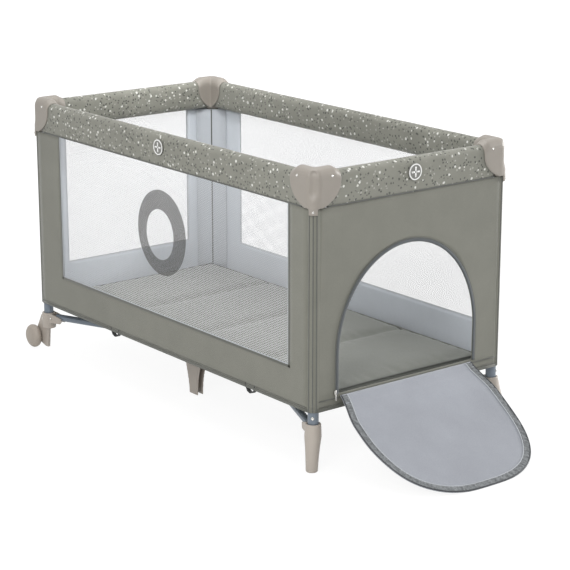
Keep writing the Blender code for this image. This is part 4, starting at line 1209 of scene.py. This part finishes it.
def rim_cord(inset, radius, sides):
    line = [on_flap(*flap_rim(share, inset), ZIP_LIFT) for share in graded(RIM_ENDS, 0.006)]
    return swept_tube(line, radius, sides, ZIP_ACROSS)


tape = laid_grid(graded(RIM_ENDS, 0.0018), INSETS, tape_lay)
thicken(drop("flap_zip_tape", turned(tape, UP), [crinkle_shaded_tape]), 0.0010)
drop("flap_zip_teeth", rim_cord(0.0016, 0.0017, 8), [zip_teeth])
drop("flap_zip_cord", rim_cord(CORD_INSET, 0.0012, 6), [edge_cord])
print("zip on the flap", len(INSETS), "rows wide")

# %% [markdown]
# The slider is a small metal body with rounded shoulders, a bridge and a pull tab.

# %% Zip slider
slider_low, slider_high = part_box("zip_slider")
slider_y = (slider_low.y + slider_high.y) / 2
slider_face = slider_high.x
slider_top = slider_high.z


def slider_block(inner, outer, half, bottom, top, bevel):
    low = Vector((inner, slider_y - half, bottom))
    high = Vector((outer, slider_y + half, top))
    return block(high - low, (low + high) / 2 - YARD, bevel)


slider = slider_block(slider_low.x, slider_face, 0.0035, slider_top - 0.011, slider_top, 0.0015)
bridge_x = (slider_face - 0.001, slider_face + 0.002)
pull_x = (slider_face - 0.0005, slider_face + 0.0011)
merge_into(slider, slider_block(*bridge_x, 0.0015, slider_top - 0.010, slider_top - 0.002, 0.0008))
merge_into(slider, slider_block(*pull_x, 0.002, slider_low.z + 0.010, slider_top - 0.006, 0.0005))
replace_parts(publish("slider_and_pull", slider, [bright], "zip_slider"), "zip_slider")
print("slider top at", round(slider_top, 3))

# %% [markdown]
# The base cloth closes the yard below the mattress. It is sewn to the walls and hangs a little between
# them.

# %% Base cloth
base_low, base_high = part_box("base_cloth")
BASE_HALF = (base_high - base_low) / 2
NOTCH = 0.040


def base_lay(x, y):
    inside = max(0.0, 1 - (x / BASE_HALF.x) ** 4) * max(0.0, 1 - (y / BASE_HALF.y) ** 4)
    return x, y, base_low.z + 0.0012 + 0.0008 * inside * ripple((x, y, 0), 6.0, 9)


def notched(half):
    return graded([-half, -half + NOTCH, half - NOTCH, half], 0.04)


def in_notch(place):
    return abs(place.x) > BASE_HALF.x - NOTCH and abs(place.y) > BASE_HALF.y - NOTCH


bm = cut_out(laid_grid(notched(BASE_HALF.x), notched(BASE_HALF.y), base_lay), in_notch)
piece = publish("base_sheet", bm, [olive_cloth], "hub")
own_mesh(piece)
thicken(piece, 0.0012)
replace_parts(piece, "base_cloth")

# %% [markdown]
# The mattress is four foam boards in one cover, with sewn folds between them so that it can wrap the folded
# yard. It starts as a grid doubled into a closed bag, drawn a little flat. A short cloth simulation then
# fills it: the bottom, the rim and the folds are held, the top is cut slightly large, and pressure lifts it
# until it wrinkles at the seams.

# %% Mattress
mat_low, mat_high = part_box("mattress")
MAT_HALF = (mat_high - mat_low) / 2
MAT_MIDDLE = (mat_low + mat_high) / 2 - YARD
MAT_THICK = 2 * MAT_HALF.z
BOARDS = 4
RIM_SHARE = 0.66
CROWN_HEIGHT = 0.88
FILLING = {"quality": 5, "mass": 0.2, "tension_stiffness": 12, "compression_stiffness": 12,
           "bending_stiffness": 0.15, "vertex_group_mass": "held", "shrink_min": -0.035,
           "use_pressure": True, "uniform_pressure_force": 3.0}
FILLING_STEPS = 20
MOST_MOVE = 0.007


def fold_share(u):
    """Distance to the nearest fold or end, as a share of a board."""
    place = ((u + 1) / 2 * BOARDS) % 1.0
    return min(place, 1 - place)


def bag_point(u, v):
    """Point of the mattress's upper cloth before it is filled, with u and v from -1 to 1."""
    fold = fold_share(u) / BOARDS * 2 * MAT_HALF.x
    rim = min((1 - abs(u)) * MAT_HALF.x, (1 - abs(v)) * MAT_HALF.y)
    crease = math.exp(-(fold / 0.011) ** 2) * (0 if abs(u) > 0.98 else 1)
    crown = 1 - math.exp(-rim / 0.018)
    wave = 0.0009 * ripple((u * MAT_HALF.x, v * MAT_HALF.y, 0), 8.0, 5) * crown
    height = MAT_THICK * (RIM_SHARE + (CROWN_HEIGHT - RIM_SHARE) * crown) - 0.0050 * crease + wave
    inset = 1 - 0.010 * (1 - v * v) - 0.002 * ripple((u, v, 0), 3.0, 2)
    x = MAT_MIDDLE.x + u * MAT_HALF.x * inset
    y = MAT_MIDDLE.y + v * MAT_HALF.y * (1 - 0.008 * (1 - crease))
    return Vector((x, y, mat_low.z + height))


def mattress():
    """The bag, and the numbers of its points that are sewn or rest on the boards."""
    bm = bmesh.new()
    bmesh.ops.create_grid(bm, x_segments=96, y_segments=44, size=1.0)
    top = bmesh.ops.extrude_face_region(bm, geom=bm.faces[:])
    upper = {item for item in top["geom"] if isinstance(item, bmesh.types.BMVert)}
    bm.verts.index_update()
    held = []
    for vert in bm.verts:
        u, v = vert.co.x, vert.co.y
        if vert not in upper or max(abs(u), abs(v)) > 0.999 or fold_share(u) < 0.005:
            held.append(vert.index)
        vert.co = bag_point(u, v)
        if vert not in upper:
            vert.co.z = mat_low.z + 0.0002
    bmesh.ops.recalc_face_normals(bm, faces=bm.faces)
    return bm, held


def fill_bag(piece, held):
    """Fill a bag by cloth simulation and keep the result; no point moves further than the most."""
    before = [v.co.copy() for v in piece.data.vertices]
    group = piece.vertex_groups.new(name="held")
    group.add(held, 1.0, "REPLACE")
    cloth = piece.modifiers.new("filling", "CLOTH")
    for key, value in FILLING.items():
        setattr(cloth.settings, key, value)
    cloth.settings.effector_weights.gravity = 0
    cloth.collision_settings.use_collision = False
    for step in range(1, FILLING_STEPS + 1):
        scene.frame_set(step)
    graph = bpy.context.evaluated_depsgraph_get()
    after = [v.co.copy() for v in piece.evaluated_get(graph).data.vertices]
    piece.modifiers.remove(cloth)
    piece.vertex_groups.remove(group)
    scene.frame_set(1)
    for vert, start, end in zip(piece.data.vertices, before, after):
        step = end - start
        if step.length > TINY:
            vert.co = start + step.normalized() * MOST_MOVE * math.tanh(step.length / MOST_MOVE)
    print("filling moved points by up to", round(max((b - a).length for a, b in zip(before, after)), 4))


def mattress_squash(piece):
    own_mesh(piece)


bm, held = mattress()
piece = publish("padded_mattress", bm, [mattress_cloth], "mattress")
fill_bag(piece, held)
piece.data.update()
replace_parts(piece, "mattress")
mattress_squash(piece)
rounder(piece)
rim = [(-1, i / 20 - 1) for i in range(40)] + [(i / 40 - 1, 1) for i in range(80)]
rim += [(-u, -v) for u, v in rim] + [(-1, -1)]
bm = swept_tube([bag_point(u, v) for u, v in rim], 0.0021, 8, UP)
mattress_squash(publish("mattress_piping", bm, [seam_cord], "mattress"))
print("mattress", [round(v * 2, 3) for v in MAT_HALF])

# %% [markdown]
# Two loops of dark webbing hang under the front hem. Each is a flat strap swept along a V.

# %% Strap loops
STRAP_TURNS = [(-0.020, 0.012), (-0.018, 0.002), (-0.011, -0.009), (0.0, -0.013), (0.011, -0.009),
               (0.018, 0.002), (0.020, 0.012)]
STRAPS = {"wheel": -0.241, "door": 0.394}
for label, x in STRAPS.items():
    path = [Vector((x + dx, -POST_Y - SLEEVE_R + 0.005, HEM + dz)) for dx, dz in STRAP_TURNS]
    loop = swept_tube(path, 0.0013, 8, (0, 1, 0), flat=5.0)
    strap = publish("strap_loop_" + label, loop, [strap_web], "corner_wheel_front")
    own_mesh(strap)
print("strap loops", len(STRAPS))

# %% [markdown]
# Last come the stage, the lamps and the camera. The floor and the world are white to the camera, and the
# lamps stay at a plain level, so colours come out as they were mixed.

# %% Floor and world
WHITE = (1, 1, 1, 1)


def looked_at(tree):
    """1 for rays that come from the camera, also by a mirror or through glass, and 0 for rays of light."""
    seen = put(tree, "LightPath", {}).outputs
    bent = maths(tree, "MAXIMUM", seen["Is Glossy Ray"], seen["Is Transmission Ray"])
    return maths(tree, "MAXIMUM", seen["Is Camera Ray"], bent)


floor_mesh = bpy.data.meshes.new("studio_floor")
bm = bmesh.new()
bmesh.ops.create_grid(bm, x_segments=1, y_segments=1, size=20.0)
bm.to_mesh(floor_mesh)
bm.free()
floor = bpy.data.objects.new("studio_floor", floor_mesh)
scene.collection.objects.link(floor)
floor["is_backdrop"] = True
floor_finish, tree, shader = new_finish("white_floor")
looked = looked_at(tree)
from_middle = vectors(tree, "LENGTH", {0: put(tree, "TexCoord", {}).outputs["Object"]}, "Value")
glow = maths(tree, "MULTIPLY", looked, between(tree, from_middle, 1.3, 3.2, 0.90, 1.0))
shade = between(tree, looked, 0, 1, 0.86, 0.10)
fill(tree, shader, {"Base Color": shade, "Roughness": 0.7})
fill(tree, shader, {"Emission Color": WHITE, "Emission Strength": glow})
floor_mesh.materials.append(floor_finish)

world = bpy.data.worlds.new("studio")
scene.world = world
world.use_nodes = True
tree = world.node_tree
strength = between(tree, looked_at(tree), 0, 1, 0.61, 1.0)
fill(tree, tree.nodes["Background"], {"Color": WHITE, "Strength": strength})
print("stage ready")

# %% Lamps
LAMPS = {"key": ((1.8, -2.7, 2.5), 2.0, 54), "side": ((2.8, -2.8, 2.2), 2.0, 8),
         "top": ((-0.3, 0.2, 3.6), 3.0, 60), "rim": ((1.3, 4.2, 1.3), 1.6, 150)}
LAMP_AIM = Vector((0, 0, 0.35))
INSIDE_PLACE = Vector((1.2, -0.9, 2.6))
INSIDE_AIM = Vector((-0.62, 0.30, 0.79))


def aimed(data, place, direction):
    """Put a lamp or the camera in its place, looking in a direction."""
    holder = bpy.data.objects.new(data.name, data)
    holder.location = place + YARD
    holder.rotation_mode = "QUATERNION"
    holder.rotation_quaternion = direction.to_track_quat("-Z", "Y")
    scene.collection.objects.link(holder)
    return holder


for name, (place, size, power) in LAMPS.items():
    lamp = bpy.data.lights.new(name, "AREA")
    lamp.shape = "DISK"
    lamp.size = size
    lamp.energy = power
    aimed(lamp, Vector(place), LAMP_AIM - Vector(place))
lamp = bpy.data.lights.new("inside", "SPOT")
lamp.spot_size = math.radians(11)
lamp.spot_blend = 1.0
lamp.shadow_soft_size = 0.35
lamp.energy = 450
aimed(lamp, INSIDE_PLACE, INSIDE_AIM - INSIDE_PLACE)
print("lamps", list(LAMPS), lamp.name)

# %% [markdown]
# The camera stands where the photograph was taken: the posts, hem and rails in the picture fix its height,
# distance and focal length.

# %% Camera
AZIMUTH = math.radians(51.88)
ELEVATION = math.radians(15.50)
DISTANCE = 5.334
LOOK_AT = Vector((0.0713, 0.0434, 0.2942))
SENSOR = 36.0
FOCAL_PIXELS = 1897.9
PICTURE_PIXELS = 570
back = Vector((math.sin(AZIMUTH) * math.cos(ELEVATION), -math.cos(AZIMUTH) * math.cos(ELEVATION),
               math.sin(ELEVATION)))
camera_data = bpy.data.cameras.new("camera")
camera_data.sensor_width = SENSOR
camera_data.lens = SENSOR * FOCAL_PIXELS / PICTURE_PIXELS
scene.camera = aimed(camera_data, LOOK_AT + back * DISTANCE, -back)
scene.view_settings.view_transform = "Standard"
print("camera at", [round(v, 3) for v in scene.camera.location])

# %% Sizes and finish
low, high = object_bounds()
